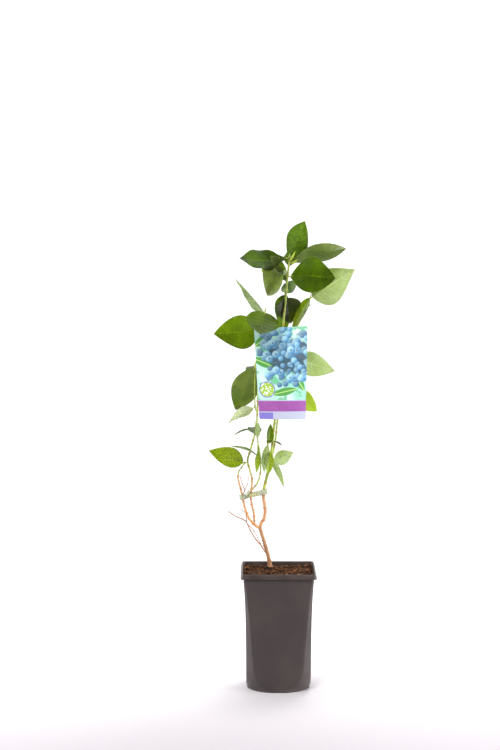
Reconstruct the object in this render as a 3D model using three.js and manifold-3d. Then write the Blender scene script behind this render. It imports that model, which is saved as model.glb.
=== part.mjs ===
/**
 * Young blueberry bush in a deep grower's pot that is square at its rim and round at its foot.
 *
 * Millimetres, +Z up. The origin is the centre of the pot's flat underside and +X runs along the
 * front of the pot, so -Y is the side that the label faces.
 *
 * Woody limbs are lathe profiles bent along a smooth route. Each limb roots on the axis of its
 * parent and is cut a small gap clear of it. A mass of foliage is one solid: a green shoot, the
 * petioles that branch from it and their leaf blades. Leaves that would touch a limb, the label or
 * another mass are left off the shoot.
 */
import * as THREE from "three";
import { mergeVertices } from "three/addons/utils/BufferGeometryUtils.js";
import Module from "manifold-3d";

const wasm = await Module();
wasm.setup();

// ---------------------------------------------------------------- driving dimensions

const GAP = 0.3; // clearance between neighbouring pieces
const DEGREE = Math.PI / 180;

const POT = {
  height: 217,
  lipBottom: 208.5,
  lipHalf: 67.5, // half of the width over the rim's flat sides
  topHalf: 63.4, // the same for the body, just under the lip
  bottomHalf: 59.4, // where the body is round
  topCorner: 9, // radius of the body's upright corners under the lip
  footHalf: 57,
  footHeight: 6.5,
  wall: 1.6,
  floor: 2.6,
  edge: 0.8, // chamfer of the rim and of the foot
  drainRadius: 4,
  drainCircle: 36,
  drains: 6,
  drainSides: 12,
};
const CORNER_STEPS = 6; // facets in each rounded corner
const LEDGE = POT.lipBottom + POT.wall; // inner step under the rim
const SOIL_TOP = 211;

const LEAF = {
  thickness: 1,
  cells: [7, 4], // along and across a blade
  smallCells: [5, 2], // the same on a leaf shorter than `small`
  small: 62,
  peak: 0.41, // where along a blade it is widest
  fullness: 0.88, // below 1 gives a fuller outline than a sine arch
  tipWidth: 1.1, // width left at the two ends of a blade
  fold: 16, // degrees that each half rises from the midrib
  petiole: 5,
  petioleRadius: 0.8,
};

const LABEL = {
  top: 656, // height of the card's upper edge on its middle line
  bottom: 490.5,
  topWidth: 96,
  bottomWidth: 83,
  middleX: [3.6, 7], // middle of the upper and of the lower edge
  depth: -17, // Y of the card's middle
  bow: 5, // how far its sides bend back
  slant: 1.6, // how much its upper right corner is raised
  thickness: 0.9,
  straps: [512, 628], // heights of the two straps that hold it to the leader
  strapHeight: 8,
  strapWall: 0.9,
  strapRadius: 2.7, // inside the loop
};

const TIE = {
  middle: 347, // height of its left end
  rise: 9, // how much higher its right end is
  tip: 9, // degrees that its far strand is raised by
  height: 8.5,
  wall: 1.3,
  inner: [4.3, 5.2], // radii of its two ends, round the left bough and the leader
};
const ARC_STEPS = 6; // facets in each rounded end of the tie band and of the straps

const COLOURS = {
  pot: "#4d4543",
  soil: "#4a2f22",
  bark: "#9c6a45",
  greenWood: "#7f9440",
  leaf: "#4c7a12",
  deadWood: "#7d5a45",
  tie: "#8fa58c",
  label: "#9fd6d2",
};

// ---------------------------------------------------------------- solids and meshes

/** A closed three.js geometry as a manifold solid. */
function solidOf(geometry) {
  const bare = geometry.index ? geometry.toNonIndexed() : geometry.clone();
  bare.deleteAttribute("normal");
  bare.deleteAttribute("uv");
  const merged = mergeVertices(bare, 1e-4);
  const corners = merged.index.array;
  const kept = [];
  for (let i = 0; i < corners.length; i += 3) {
    const [a, b, c] = [corners[i], corners[i + 1], corners[i + 2]];
    if (a !== b && b !== c && a !== c) kept.push(a, b, c);
  }
  return new wasm.Manifold(
    new wasm.Mesh({
      numProp: 3,
      vertProperties: new Float32Array(merged.attributes.position.array),
      triVerts: new Uint32Array(kept),
    }),
  );
}

/** A manifold solid as a named three.js mesh. */
function meshOf(name, solid, colour, roughness) {
  const { vertProperties, triVerts } = solid.getMesh();
  const geometry = new THREE.BufferGeometry();
  geometry.setAttribute("position", new THREE.BufferAttribute(vertProperties, 3));
  geometry.setIndex(new THREE.BufferAttribute(triVerts, 1));
  geometry.computeVertexNormals();
  const material = new THREE.MeshStandardMaterial({ color: colour, roughness, metalness: 0 });
  const mesh = new THREE.Mesh(geometry, material);
  mesh.name = name;
  return mesh;
}

/** True where two solids share room. */
function meet(a, b) {
  return a.intersect(b).volume() > 1e-4;
}

// ---------------------------------------------------------------- pot and soil

/** Half of the body's width at a height. */
function bodyHalf(height) {
  const { footHeight, lipBottom, bottomHalf, topHalf } = POT;
  return THREE.MathUtils.mapLinear(height, footHeight, lipBottom, bottomHalf, topHalf);
}

/** Distance from the axis to the centres of the four corner arcs: 0 where the pot is round. */
function cornerCentre(height) {
  const along = (height - POT.footHeight) / (POT.lipBottom - POT.footHeight);
  return THREE.MathUtils.clamp(along, 0, 1) * (POT.topHalf - POT.topCorner);
}

/** A lathe whose round sections are squared off, more and more towards the rim. */
function squaredLathe(profile) {
  const perCorner = CORNER_STEPS + 1;
  const count = 4 * perCorner;
  const lathe = new THREE.LatheGeometry(profile, count);
  const position = lathe.attributes.position;
  for (let i = 0; i < position.count; i += 1) {
    const [x, height, z] = [position.getX(i), position.getY(i), position.getZ(i)];
    const half = Math.hypot(x, z);
    if (half < 1e-6) {
      position.setXYZ(i, 0, 0, height);
      continue;
    }
    const step = (Math.round((Math.atan2(x, z) / (2 * Math.PI)) * count) + count) % count;
    const corner = Math.floor(step / perCorner);
    const turn = (corner * 90 + ((step % perCorner) * 90) / CORNER_STEPS) * DEGREE;
    const middle = (corner * 90 + 45) * DEGREE;
    const centre = Math.min(cornerCentre(height), half);
    position.setXYZ(
      i,
      centre * Math.SQRT2 * Math.cos(middle) + (half - centre) * Math.cos(turn),
      centre * Math.SQRT2 * Math.sin(middle) + (half - centre) * Math.sin(turn),
      height,
    );
  }
  return lathe;
}

/** Profile point of the pot: half width and height. */
function at(half, height) {
  return new THREE.Vector2(half, height);
}

/** The pot: foot, round to square body, ledge and square rim, with drain holes in its floor. */
function potSolid() {
  const { footHalf, footHeight, lipHalf, lipBottom, height, wall, floor, edge } = POT;
  const { drains, drainRadius, drainCircle, drainSides } = POT;
  const waist = height / 2;
  const shell = squaredLathe([
    at(0, 0),
    at(footHalf - edge, 0),
    at(footHalf, edge),
    at(footHalf, footHeight - edge),
    at(bodyHalf(footHeight), footHeight),
    at(bodyHalf(waist), waist),
    at(bodyHalf(lipBottom), lipBottom),
    at(lipHalf - edge, lipBottom),
    at(lipHalf, lipBottom + edge),
    at(lipHalf, height - edge),
    at(lipHalf - edge, height),
    at(lipHalf - wall, height),
    at(lipHalf - wall, LEDGE),
    at(bodyHalf(lipBottom) - wall, LEDGE),
    at(bodyHalf(waist) - wall, waist),
    at(footHalf - wall, footHeight),
    at(footHalf - wall - edge, floor),
    at(0, floor),
  ]);
  let solid = solidOf(shell);
  for (let i = 0; i < drains; i += 1) {
    const turn = (i * 2 * Math.PI) / drains;
    const drain = new THREE.CylinderGeometry(drainRadius, drainRadius, 4 * floor, drainSides);
    drain.rotateX(Math.PI / 2);
    drain.translate(drainCircle * Math.cos(turn), drainCircle * Math.sin(turn), 0);
    solid = solid.subtract(solidOf(drain));
  }
  return solid;
}

/** The soil: it fills the pot, a gap clear of its wall, to a level a little under the rim. */
function soilSolid() {
  const { footHalf, footHeight, lipHalf, lipBottom, height, wall, floor, edge } = POT;
  const inset = wall + GAP;
  const waist = height / 2;
  return solidOf(
    squaredLathe([
      at(0, floor + GAP),
      at(footHalf - inset - edge, floor + GAP),
      at(footHalf - inset, footHeight),
      at(bodyHalf(waist) - inset, waist),
      at(bodyHalf(lipBottom) - inset, LEDGE + GAP),
      at(lipHalf - inset, LEDGE + GAP),
      at(lipHalf - inset, SOIL_TOP),
      at(0, SOIL_TOP),
    ]),
  );
}

// ---------------------------------------------------------------- limbs

/**
 * A tapering limb along a smooth route.
 * @param {number[][]} route points on its axis
 * @param {number[]} radii at its foot and at its tip
 * @param {object} options sides, step between rings, flare {size, reach} at the foot
 */
function limb(route, radii, { sides = 8, step = 9, flare = null } = {}) {
  const points = route.map((point) => new THREE.Vector3(...point));
  const curve = new THREE.CatmullRomCurve3(points, false, "catmullrom", 0.5);
  curve.arcLengthDivisions = 400;
  const rings = Math.max(2, Math.round(curve.getLength() / step));
  const frames = curve.computeFrenetFrames(rings, false);
  const places = curve.getSpacedPoints(rings);

  /** The limb's solid, with its skin and both ends moved out by `extra`. */
  function solid(extra = 0) {
    const profile = [new THREE.Vector2(0, 0)];
    for (let i = 0; i <= rings; i += 1) {
      const along = i / rings;
      const swell = flare ? flare.size * Math.exp(-(along * curve.getLength()) / flare.reach) : 0;
      const radius = THREE.MathUtils.lerp(radii[0], radii[1], along) + swell + extra;
      profile.push(new THREE.Vector2(radius, i));
    }
    profile.push(new THREE.Vector2(0, rings));
    const lathe = new THREE.LatheGeometry(profile, sides);
    const position = lathe.attributes.position;
    const point = new THREE.Vector3();
    for (let i = 0; i < position.count; i += 1) {
      const ring = Math.round(position.getY(i));
      point.copy(places[ring]);
      point.addScaledVector(frames.normals[ring], position.getZ(i));
      point.addScaledVector(frames.binormals[ring], position.getX(i));
      if (ring === 0) point.addScaledVector(frames.tangents[0], -extra);
      if (ring === rings) point.addScaledVector(frames.tangents[rings], extra);
      position.setXYZ(i, point.x, point.y, point.z);
    }
    return solidOf(lathe);
  }

  /** The point of the axis at a height, for a limb that rises all the way. */
  function atHeight(height) {
    let [low, high] = [0, 1];
    for (let i = 0; i < 40; i += 1) {
      const middle = (low + high) / 2;
      if (curve.getPointAt(middle).z < height) low = middle;
      else high = middle;
    }
    return curve.getPointAt(low);
  }

  return { solid, atHeight, next: curve.getPointAt(1).toArray() };
}

// ---------------------------------------------------------------- leaves

/** Half of a blade's outline at a place from 0 at its base to 1 at its tip, for a width of 1. */
function outline(along, peak) {
  const skewed = along ** (Math.log(0.5) / Math.log(peak));
  return 0.5 * Math.max(0, Math.sin(Math.PI * skewed)) ** LEAF.fullness;
}

/**
 * A leaf blade with its petiole.
 * @param {THREE.Vector3} node where the petiole leaves the shoot's axis
 * @param {object} leaf turn and climb of the line from node to tip in degrees, its length, the
 *   blade's width, its roll about that line (0 is face up), the arch of its midrib, its twist, the
 *   fold of its halves and the peak, which is where along it is widest
 * @param {number} extra how far the skin is moved out
 */
function leafSolid(node, leaf, extra = 0) {
  const { turn, climb, length, width, roll = 0, arch = 0, twist = 0 } = leaf;
  const { fold = LEAF.fold, peak = LEAF.peak } = leaf;
  const [yaw, pitch, bend] = [turn * DEGREE, climb * DEGREE, (arch || 1) * DEGREE];
  const ahead = new THREE.Vector3(
    Math.cos(pitch) * Math.cos(yaw),
    Math.cos(pitch) * Math.sin(yaw),
    Math.sin(pitch),
  );
  const level = new THREE.Vector3(-Math.sin(yaw), Math.cos(yaw), 0);
  const upright = new THREE.Vector3().crossVectors(ahead, level);
  const chord = length - LEAF.petiole;
  const start = node.clone().addScaledVector(ahead, LEAF.petiole);
  const radius = chord / (2 * Math.sin(bend / 2));

  const cells = length < LEAF.small ? LEAF.smallCells : LEAF.cells;
  const blade = new THREE.BoxGeometry(1, 1, 1, cells[0], cells[1], 1);
  const position = blade.attributes.position;
  const point = new THREE.Vector3();
  for (let i = 0; i < position.count; i += 1) {
    const along = position.getX(i) + 0.5;
    const across = 2 * position.getY(i);
    const angle = bend * (along - 0.5);
    const lift = radius * (Math.cos(angle) - Math.cos(bend / 2));
    const half = Math.max(outline(along, peak) * width, LEAF.tipWidth / 2) + extra;
    const rise = Math.abs(across) * half * Math.sin(fold * DEGREE);
    const thick = position.getZ(i) * (LEAF.thickness + 2 * extra);
    const turned = (roll + twist * (along - 0.5)) * DEGREE;
    const side = level.clone().applyAxisAngle(ahead, turned);
    const face = upright.clone().applyAxisAngle(ahead, turned);
    point.copy(start);
    point.addScaledVector(ahead, chord / 2 + radius * Math.sin(angle));
    point.addScaledVector(side, across * half * Math.cos(fold * DEGREE));
    point.addScaledVector(face, lift + rise + thick);
    position.setXYZ(i, point.x, point.y, point.z);
  }
  const reach = start.clone().addScaledVector(ahead, LEAF.petiole);
  const petiole = limb(
    [node.toArray(), start.toArray(), reach.toArray()],
    [LEAF.petioleRadius, LEAF.petioleRadius * 0.7],
    { sides: 4, step: LEAF.petiole },
  );
  return solidOf(blade).add(petiole.solid(extra));
}

// ---------------------------------------------------------------- plant

const group = new THREE.Group();
const placed = []; // every solid so far, so that leaves can keep clear of them

/** Adds a solid to the group as a named mesh. */
function place(name, solid, colour, roughness = 0.7) {
  placed.push(solid);
  group.add(meshOf(name, solid, colour, roughness));
}

place("pot", potSolid(), COLOURS.pot, 0.55);
place("soil", soilSolid(), COLOURS.soil, 1);

const ROOT = [-14.2, 38, SOIL_TOP - 4]; // on the trunk's axis, under its cut
const trunk = limb(
  [
    ROOT,
    [-15.5, 35.5, 219],
    [-19.4, 28, 239],
    [-26, 20, 263],
    [-32.3, 12, 284.5],
    [-33.2, 10, 290.5],
  ],
  [3.7, 3.1],
  { sides: 12, step: 6, flare: { size: 3.2, reach: 5 } },
);

/** Everything under the level that the trunk's foot is cut off at. */
function underground() {
  const size = POT.topHalf;
  const block = new THREE.BoxGeometry(size, size, size);
  block.translate(ROOT[0], ROOT[1], SOIL_TOP + GAP - size / 2);
  return solidOf(block);
}

place("trunk", trunk.solid().subtract(underground()), COLOURS.bark, 0.85);

// Boughs follow in the order that they branch. Each roots on its parent and is cut clear of it.

const leader = limb(
  [
    trunk.next,
    [-30.5, 9, 299],
    [-26.4, 8, 305],
    [-23.8, 5, 320],
    [-25, 2, 332],
    [-27, 0, 347],
    [-26, -1, 362],
    [-22, -1, 380],
    [-16.7, 0, 404],
    [-12.2, 1, 431],
    [-9, 2, 468],
    [-5.8, 2, 491],
    [0, 1, 560],
    [5.2, 0, 623],
    [9.6, 0, 675],
    [11.4, 0, 697],
  ],
  [2.9, 1.8],
  { sides: 8, step: 11 },
);
place("bough_leader", leader.solid().subtract(trunk.solid(GAP)), COLOURS.greenWood);

const left = limb(
  [
    [-33.2, 10, 288.5],
    [-40.5, 9, 293],
    [-51.8, 6, 304.7],
    [-56.7, 4, 315],
    [-61.5, 2, 330],
    [-64.8, 0, 347],
    [-69.3, -3, 366],
    [-72.9, -5, 381],
    [-72.1, -5, 393],
    [-67, -5, 401],
  ],
  [2.6, 1.2],
  { sides: 8, step: 8 },
);
place(
  "bough_left",
  left.solid().subtract(trunk.solid(GAP)).subtract(leader.solid(GAP)),
  COLOURS.bark,
);

const middle = limb(
  [
    [-43, 8.5, 295.5],
    [-43.6, 7.5, 304],
    [-44.5, 5, 317],
    [-48.1, 2, 332.5],
    [-50, 0, 352.5],
    [-47.6, 2, 378],
    [-51.4, 4, 394],
    [-55.7, 5, 412],
    [-51.4, 5, 430],
    [-44, 5, 456],
    [-39.5, 5, 477],
    [-37.5, 5, 518],
    [-35.9, 5, 559],
    [-34.1, 4, 595],
    [-32, 4, 628],
  ],
  [1.8, 1.5],
  { sides: 7, step: 12 },
);
place("bough_middle", middle.solid().subtract(left.solid(GAP)), COLOURS.greenWood);

const right = limb(
  [
    [-16.7, 0, 404],
    [-10.5, 4, 425],
    [-5.5, 6.5, 450],
    [-1.5, 7, 487],
    [4, 8, 530],
  ],
  [1.8, 1.5],
  { sides: 7, step: 12 },
);
place("bough_right", right.solid().subtract(leader.solid(GAP)), COLOURS.greenWood);

const centre = limb(
  [
    [-49.4, 0.3, 358.5],
    [-44, -5, 366],
    [-38, -7, 374],
    [-33, -8, 390],
    [-32, -8, 410],
  ],
  [1.4, 1.3],
  { sides: 7, step: 9 },
);
place("bough_centre", centre.solid().subtract(middle.solid(GAP)), COLOURS.greenWood);

// ---------------------------------------------------------------- tie band and label

/** A soft band looped round the left and the middle bough and the leader. */
function tieSolid() {
  const ends = [left.atHeight(TIE.middle), leader.atHeight(TIE.middle + TIE.rise)];
  const reach = ends[0].distanceTo(ends[1]);
  const radii = TIE.inner;
  const ring = (extra) => {
    const shape = new THREE.Shape();
    shape.absarc(0, 0, radii[0] + extra, Math.PI / 2, Math.PI * 1.5, false);
    shape.absarc(reach, 0, radii[1] + extra, -Math.PI / 2, Math.PI / 2, false);
    shape.closePath();
    return shape;
  };
  const band = ring(TIE.wall);
  band.holes.push(ring(0));
  const options = { depth: TIE.height, bevelEnabled: false, curveSegments: ARC_STEPS };
  const loop = new THREE.ExtrudeGeometry(band, options);
  loop.translate(0, 0, -TIE.height / 2);
  loop.rotateX(-TIE.tip * DEGREE);
  loop.rotateY(-Math.atan2(ends[1].z - ends[0].z, ends[1].x - ends[0].x));
  loop.translate(ends[0].x, ends[0].y, ends[0].z);
  return solidOf(loop);
}

place("tie_band", tieSolid(), COLOURS.tie, 0.95);

/** The card, wider at its upper edge, bowed about its upright middle line. */
function cardSolid() {
  const height = LABEL.top - LABEL.bottom;
  const [columns, rows] = [8, 2];
  const card = new THREE.BoxGeometry(1, 1, 1, columns, 1, rows);
  const position = card.attributes.position;
  for (let i = 0; i < position.count; i += 1) {
    const across = 2 * position.getX(i);
    const up = position.getZ(i) + 0.5;
    const half = THREE.MathUtils.lerp(LABEL.bottomWidth, LABEL.topWidth, up) / 2;
    const middleX = THREE.MathUtils.lerp(LABEL.middleX[1], LABEL.middleX[0], up);
    const slope = across * up * LABEL.slant;
    position.setXYZ(
      i,
      middleX + across * half,
      LABEL.depth + LABEL.bow * across * across + position.getY(i) * LABEL.thickness,
      LABEL.bottom + up * height + slope,
    );
  }
  return solidOf(card);
}

/** A strap of the same card, looped from the card's back round the leader. */
function strapSolid(height) {
  const stem = leader.atHeight(height);
  const half = LABEL.strapRadius;
  const reach = stem.y - LABEL.depth;
  const loop = (extra, back) => {
    const shape = new THREE.Shape();
    shape.absarc(0, 0, half + extra, 0, Math.PI, false);
    shape.lineTo(-half - extra, back);
    shape.lineTo(half + extra, back);
    shape.closePath();
    return shape;
  };
  const strap = loop(LABEL.strapWall, -reach);
  strap.holes.push(loop(0, -reach + LABEL.strapWall));
  const options = { depth: LABEL.strapHeight, bevelEnabled: false, curveSegments: ARC_STEPS };
  const ring = new THREE.ExtrudeGeometry(strap, options);
  ring.translate(stem.x, stem.y, height - LABEL.strapHeight / 2);
  return solidOf(ring);
}

const label = LABEL.straps.reduce((solid, height) => solid.add(strapSolid(height)), cardSolid());
place("label_card", label, COLOURS.label, 0.4);

// ---------------------------------------------------------------- dry twigs

const TWIG_TAPER = 0.55; // a dry twig's tip to its foot

/** A bundle of dead twigs: thin limbs joined to the first one. */
function twigBundle(routes, radii) {
  return routes
    .map((route, i) => limb(route, [radii[i], radii[i] * TWIG_TAPER], { sides: 5 }).solid())
    .reduce((whole, twig) => whole.add(twig));
}

const lowTwigs = twigBundle(
  [
    [
      [-18.7, 29, 236],
      [-24, 22, 243],
      [-31.3, 20, 254.5],
      [-41.4, 18, 267],
      [-50.7, 16, 283],
      [-57.6, 15, 298],
      [-63.4, 15, 303],
      [-77.4, 14, 309.6],
      [-90.8, 12, 319],
    ],
    [
      [-57.6, 15, 298],
      [-59.4, 13, 314.7],
      [-65, 13, 320],
      [-70.6, 12, 324.6],
    ],
    [
      [-27, 21, 248],
      [-35.3, 24, 263.6],
      [-45, 26, 281.7],
      [-53.4, 26, 290.6],
      [-58.7, 26, 298.3],
    ],
  ],
  [1.3, 0.8, 0.8],
);
place("dry_twigs_low", lowTwigs.subtract(trunk.solid(GAP)), COLOURS.deadWood, 0.95);

const highTwigs = twigBundle(
  [
    [
      [-65.8, -0.7, 351],
      [-61, -6, 360],
      [-66, -8, 374],
      [-70, -9, 388],
    ],
    [
      [-61, -6, 360],
      [-56, -7, 372],
      [-53.5, -8, 388],
    ],
  ],
  [0.9, 0.6],
);
place("dry_twigs_high", highTwigs.subtract(left.solid(GAP)), COLOURS.deadWood, 0.95);

// ---------------------------------------------------------------- foliage masses

/**
 * One mass of foliage: a shoot with its leaves. A leaf that touches what is there is left off.
 * @param {string} name
 * @param {number[][]} route of the shoot
 * @param {number[]} radii of the shoot's foot and tip
 * @param {object[]} leaves with their node's height on the shoot
 * @param {object[]} parents limbs that the shoot's foot is cut clear of
 */
function foliage(name, route, radii, leaves, parents) {
  const shoot = limb(route, radii, { sides: 7 });
  let mass = shoot.solid();
  for (const parent of parents) mass = mass.subtract(parent.solid(GAP));
  for (const leaf of leaves) {
    const node = shoot.atHeight(leaf.height);
    const room = leafSolid(node, leaf, GAP);
    if (!placed.some((solid) => meet(solid, room))) mass = mass.add(leafSolid(node, leaf));
  }
  place(name, mass, COLOURS.leaf, 0.5);
}

foliage(
  "foliage_top",
  [leader.next, [13.1, 0, 718], [16.6, -1, 754], [20.1, -2, 782.5], [23.6, -3, 797]],
  [1.8, 0.9],
  [
    {
      height: 779, turn: 54, climb: 54, length: 81, width: 50, roll: 68, arch: -4,
      twist: -5, fold: 10,
    },
    {
      height: 770, turn: 16, climb: 13, length: 110, width: 38, roll: 62, arch: 25,
      twist: 13, fold: 20, peak: 0.5,
    },
    {
      height: 746, turn: -24, climb: -1, length: 92, width: 66, roll: 73, arch: 60,
      twist: 20, fold: 15, peak: 0.54,
    },
    {
      height: 779, turn: -164, climb: 0, length: 94, width: 62, roll: -36, arch: -20,
      twist: 10, fold: 4, peak: 0.53,
    },
    {
      height: 753, turn: -134, climb: 31, length: 54, width: 29, roll: -68, arch: -22,
      twist: -12, fold: 5,
    },
    {
      height: 747, turn: -133, climb: -34, length: 62, width: 48, roll: -18, arch: 86,
      twist: -9, fold: 26,
    },
    {
      height: 729, turn: 79, climb: -26, length: 56, width: 34, roll: -33, arch: -12,
      twist: -12, fold: 6,
    },
    { height: 718, turn: 124, climb: -79, length: 72, width: 30, roll: 27, arch: 60, twist: 42 },
    { height: 712, turn: 60, climb: -30, length: 60, width: 46, roll: 62, arch: -10, fold: 10 },
    { height: 762, turn: 78, climb: -4, length: 78, width: 42, arch: 40 },
    { height: 736, turn: 142, climb: -4, length: 66, width: 38, arch: 40 },
    { height: 790, turn: -52, climb: 62, length: 17, width: 7, roll: 60, arch: 10 },
  ],
  [leader],
);

foliage(
  "foliage_shoulder",
  [
    [3.3, 0, 600],
    [10, 3, 612],
    [24, 7, 638],
    [40, 9, 668],
    [55, 9, 702],
    [58, 9, 712],
  ],
  [1.6, 1],
  [
    {
      height: 706, turn: 16, climb: 31, length: 99, width: 69, roll: -100, arch: 27,
      twist: 22, fold: 20,
    },
    { height: 709, turn: -148, climb: -61, length: 72, width: 20, roll: 100, arch: 20, fold: 18 },
    { height: 690, turn: 60, climb: 14, length: 78, width: 42, arch: 30 },
  ],
  [leader],
);

foliage(
  "foliage_upper_left",
  [middle.next, [-30, 4, 645], [-26, 4, 672], [-22, 3, 696]],
  [1.5, 0.9],
  [
    { height: 648, turn: -170, climb: -3, length: 88, width: 63, roll: -83, arch: 20, twist: 25 },
    {
      height: 683, turn: -96, climb: -22, length: 88, width: 62, roll: -14, arch: -10,
      twist: 10, fold: 6,
    },
    {
      height: 687, turn: -168, climb: 42, length: 82, width: 25, roll: -45, arch: -10,
      fold: -30, peak: 0.45,
    },
    { height: 670, turn: 104, climb: 4, length: 80, width: 42, arch: 30 },
    { height: 638, turn: 62, climb: 0, length: 72, width: 40, arch: 30 },
  ],
  [middle],
);

foliage(
  "foliage_middle_left",
  [
    [-38.2, 5, 500],
    [-42, 10, 510],
    [-43, 14, 540],
    [-42, 15, 575],
    [-41, 15, 592],
  ],
  [1.3, 0.8],
  [
    { height: 510, turn: -157, climb: -29, length: 61, width: 28, roll: 51, arch: 26, twist: -50 },
    {
      height: 586, turn: 168, climb: -66, length: 91, width: 50, roll: -101, arch: 4,
      twist: -6, fold: 10, peak: 0.48,
    },
    { height: 560, turn: 108, climb: 8, length: 76, width: 42, arch: 30 },
  ],
  [middle],
);

foliage(
  "foliage_middle_right",
  [right.next, [14, 9, 557], [28, 9, 592], [32, 9, 604]],
  [1.5, 0.9],
  [
    { height: 600, turn: 18, climb: -20, length: 80, width: 46, roll: -99, arch: 34 },
    {
      height: 557, turn: 8, climb: -45, length: 79, width: 36, roll: 58, arch: -18,
      twist: 20, fold: 6, peak: 0.58,
    },
    { height: 575, turn: 80, climb: 6, length: 78, width: 42, arch: 30 },
    { height: 590, turn: 140, climb: 12, length: 62, width: 36, arch: 30 },
  ],
  [right],
);

foliage(
  "foliage_low_left",
  [left.next, [-63, -4.6, 407], [-57, -4, 412]],
  [1.2, 0.8],
  [
    { height: 410, turn: -163, climb: 20, length: 73, width: 38, roll: -83, arch: 28, fold: 20 },
    { height: 408, turn: 150, climb: 8, length: 50, width: 28, arch: 30 },
  ],
  [left],
);

foliage(
  "foliage_low_centre",
  [centre.next, [-33.5, -8, 428], [-37.5, -6, 450], [-41.5, -3, 474], [-42.5, -2, 486]],
  [1.3, 0.8],
  [
    { height: 421, turn: -173, climb: 21, length: 57, width: 14, roll: -4, arch: 15, twist: -20 },
    {
      height: 448, turn: -102, climb: -77, length: 55, width: 20, roll: -73, arch: 2,
      twist: 45, fold: 10,
    },
    { height: 452, turn: -66, climb: 82, length: 32, width: 12, arch: 10 },
    { height: 472, turn: -170, climb: -16, length: 42, width: 10, roll: -6, arch: 37 },
    { height: 460, turn: 58, climb: 10, length: 56, width: 28, arch: 30 },
  ],
  [centre],
);

foliage(
  "foliage_low_right",
  [
    [-16.7, 0, 404],
    [-12, -4, 411],
    [-14, -8, 425],
    [-19, -9, 440],
    [-21, -8, 452],
  ],
  [1.3, 0.8],
  [
    { height: 410, turn: 13, climb: 24, length: 44, width: 27, roll: -99, arch: 14, twist: 24 },
    {
      height: 423, turn: -18, climb: -67, length: 61, width: 12, roll: -91, arch: 29,
      twist: 33, fold: 22,
    },
    { height: 448, turn: -108, climb: -72, length: 56, width: 14, roll: 150, arch: 27, twist: -34 },
    {
      height: 440, turn: 36, climb: 81, length: 42, width: 14, roll: 65, arch: 40,
      twist: -40, fold: 20,
    },
    { height: 436, turn: -95, climb: -82, length: 46, width: 19, roll: -17, arch: 24 },
    { height: 450, turn: 4, climb: -17, length: 29, width: 8, roll: 11, arch: 60, twist: 60, fold: 6 },
  ],
  [leader, right],
);

export default group;
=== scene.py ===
"""Looks of a young blueberry bush in a deep nursery pot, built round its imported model.

Shapes are made in millimetres in the model's own frame, +Z up, and become metres when a piece is
finished. A limb is a tube bent along a smooth route. Leaf blades, the card, its straps and the tie
band are thin slabs bent into shape. Each mass of foliage grows by the rule of its solid: its leaves
stand on a green shoot, and each is given by the line from its node to its tip.
"""
import bisect
import logging
import math
import random
from collections.abc import Callable, Sequence
from dataclasses import dataclass
from enum import Enum
from functools import cached_property

import bmesh
import bpy
from bmesh.types import BMesh, BMVert
from mathutils import Color, Matrix, Quaternion, Vector, noise


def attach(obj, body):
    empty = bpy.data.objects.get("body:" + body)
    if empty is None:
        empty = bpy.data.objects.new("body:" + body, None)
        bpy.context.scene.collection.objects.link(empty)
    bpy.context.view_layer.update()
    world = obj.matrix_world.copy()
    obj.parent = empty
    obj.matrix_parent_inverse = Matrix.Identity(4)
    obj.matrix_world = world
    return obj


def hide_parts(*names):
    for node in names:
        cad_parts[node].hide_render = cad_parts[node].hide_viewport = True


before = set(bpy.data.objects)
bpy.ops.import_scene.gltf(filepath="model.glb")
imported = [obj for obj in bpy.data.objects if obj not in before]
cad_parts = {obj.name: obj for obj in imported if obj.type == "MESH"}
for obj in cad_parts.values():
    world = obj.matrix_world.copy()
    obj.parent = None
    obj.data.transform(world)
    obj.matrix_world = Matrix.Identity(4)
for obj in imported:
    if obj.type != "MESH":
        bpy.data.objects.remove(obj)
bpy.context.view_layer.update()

LOG = logging.getLogger("blueberry")
MM = 0.001
BODY = "root"
FULL_TURN = 2 * math.pi
UV_NAME = "surface"
SEED = 7
WHITE = (1.0, 1.0, 1.0, 1.0)

Pair = tuple[float, float]
Point = tuple[float, float, float]
Bend = Callable[[float, float, float], Vector]
Socket = bpy.types.NodeSocket
Node = bpy.types.Node


class Layer(Enum):
    """Values painted on the vertices of a piece, which its finish reads."""

    TONE = "tone"  # 0 where a finish is at its darkest or reddest, 1 where it is plain
    AGE = "age"  # 0 on green skin, 1 on brown bark


# ---- routes and shapes


def clamp(value: float, low: float = 0.0, high: float = 1.0) -> float:
    """The value, kept between two limits."""
    return max(low, min(high, value))


def between(low: float, high: float, share: float) -> float:
    """The value at a share of the way from low to high."""
    return low + (high - low) * share


def bell(value: float) -> float:
    """1 at 0, with a smooth fall to both sides."""
    return math.exp(-value * value)


def smooth_step(value: float, low: float, high: float) -> float:
    """0 at low and 1 at high, with a smooth rise between them."""
    share = clamp((value - low) / (high - low))
    return share * share * (3 - 2 * share)


def around(angle: float, radius: float = 1.0, height: float = 0.0) -> Vector:
    """The point at an angle round the Z axis."""
    return Vector((math.cos(angle) * radius, math.sin(angle) * radius, height))


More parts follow.
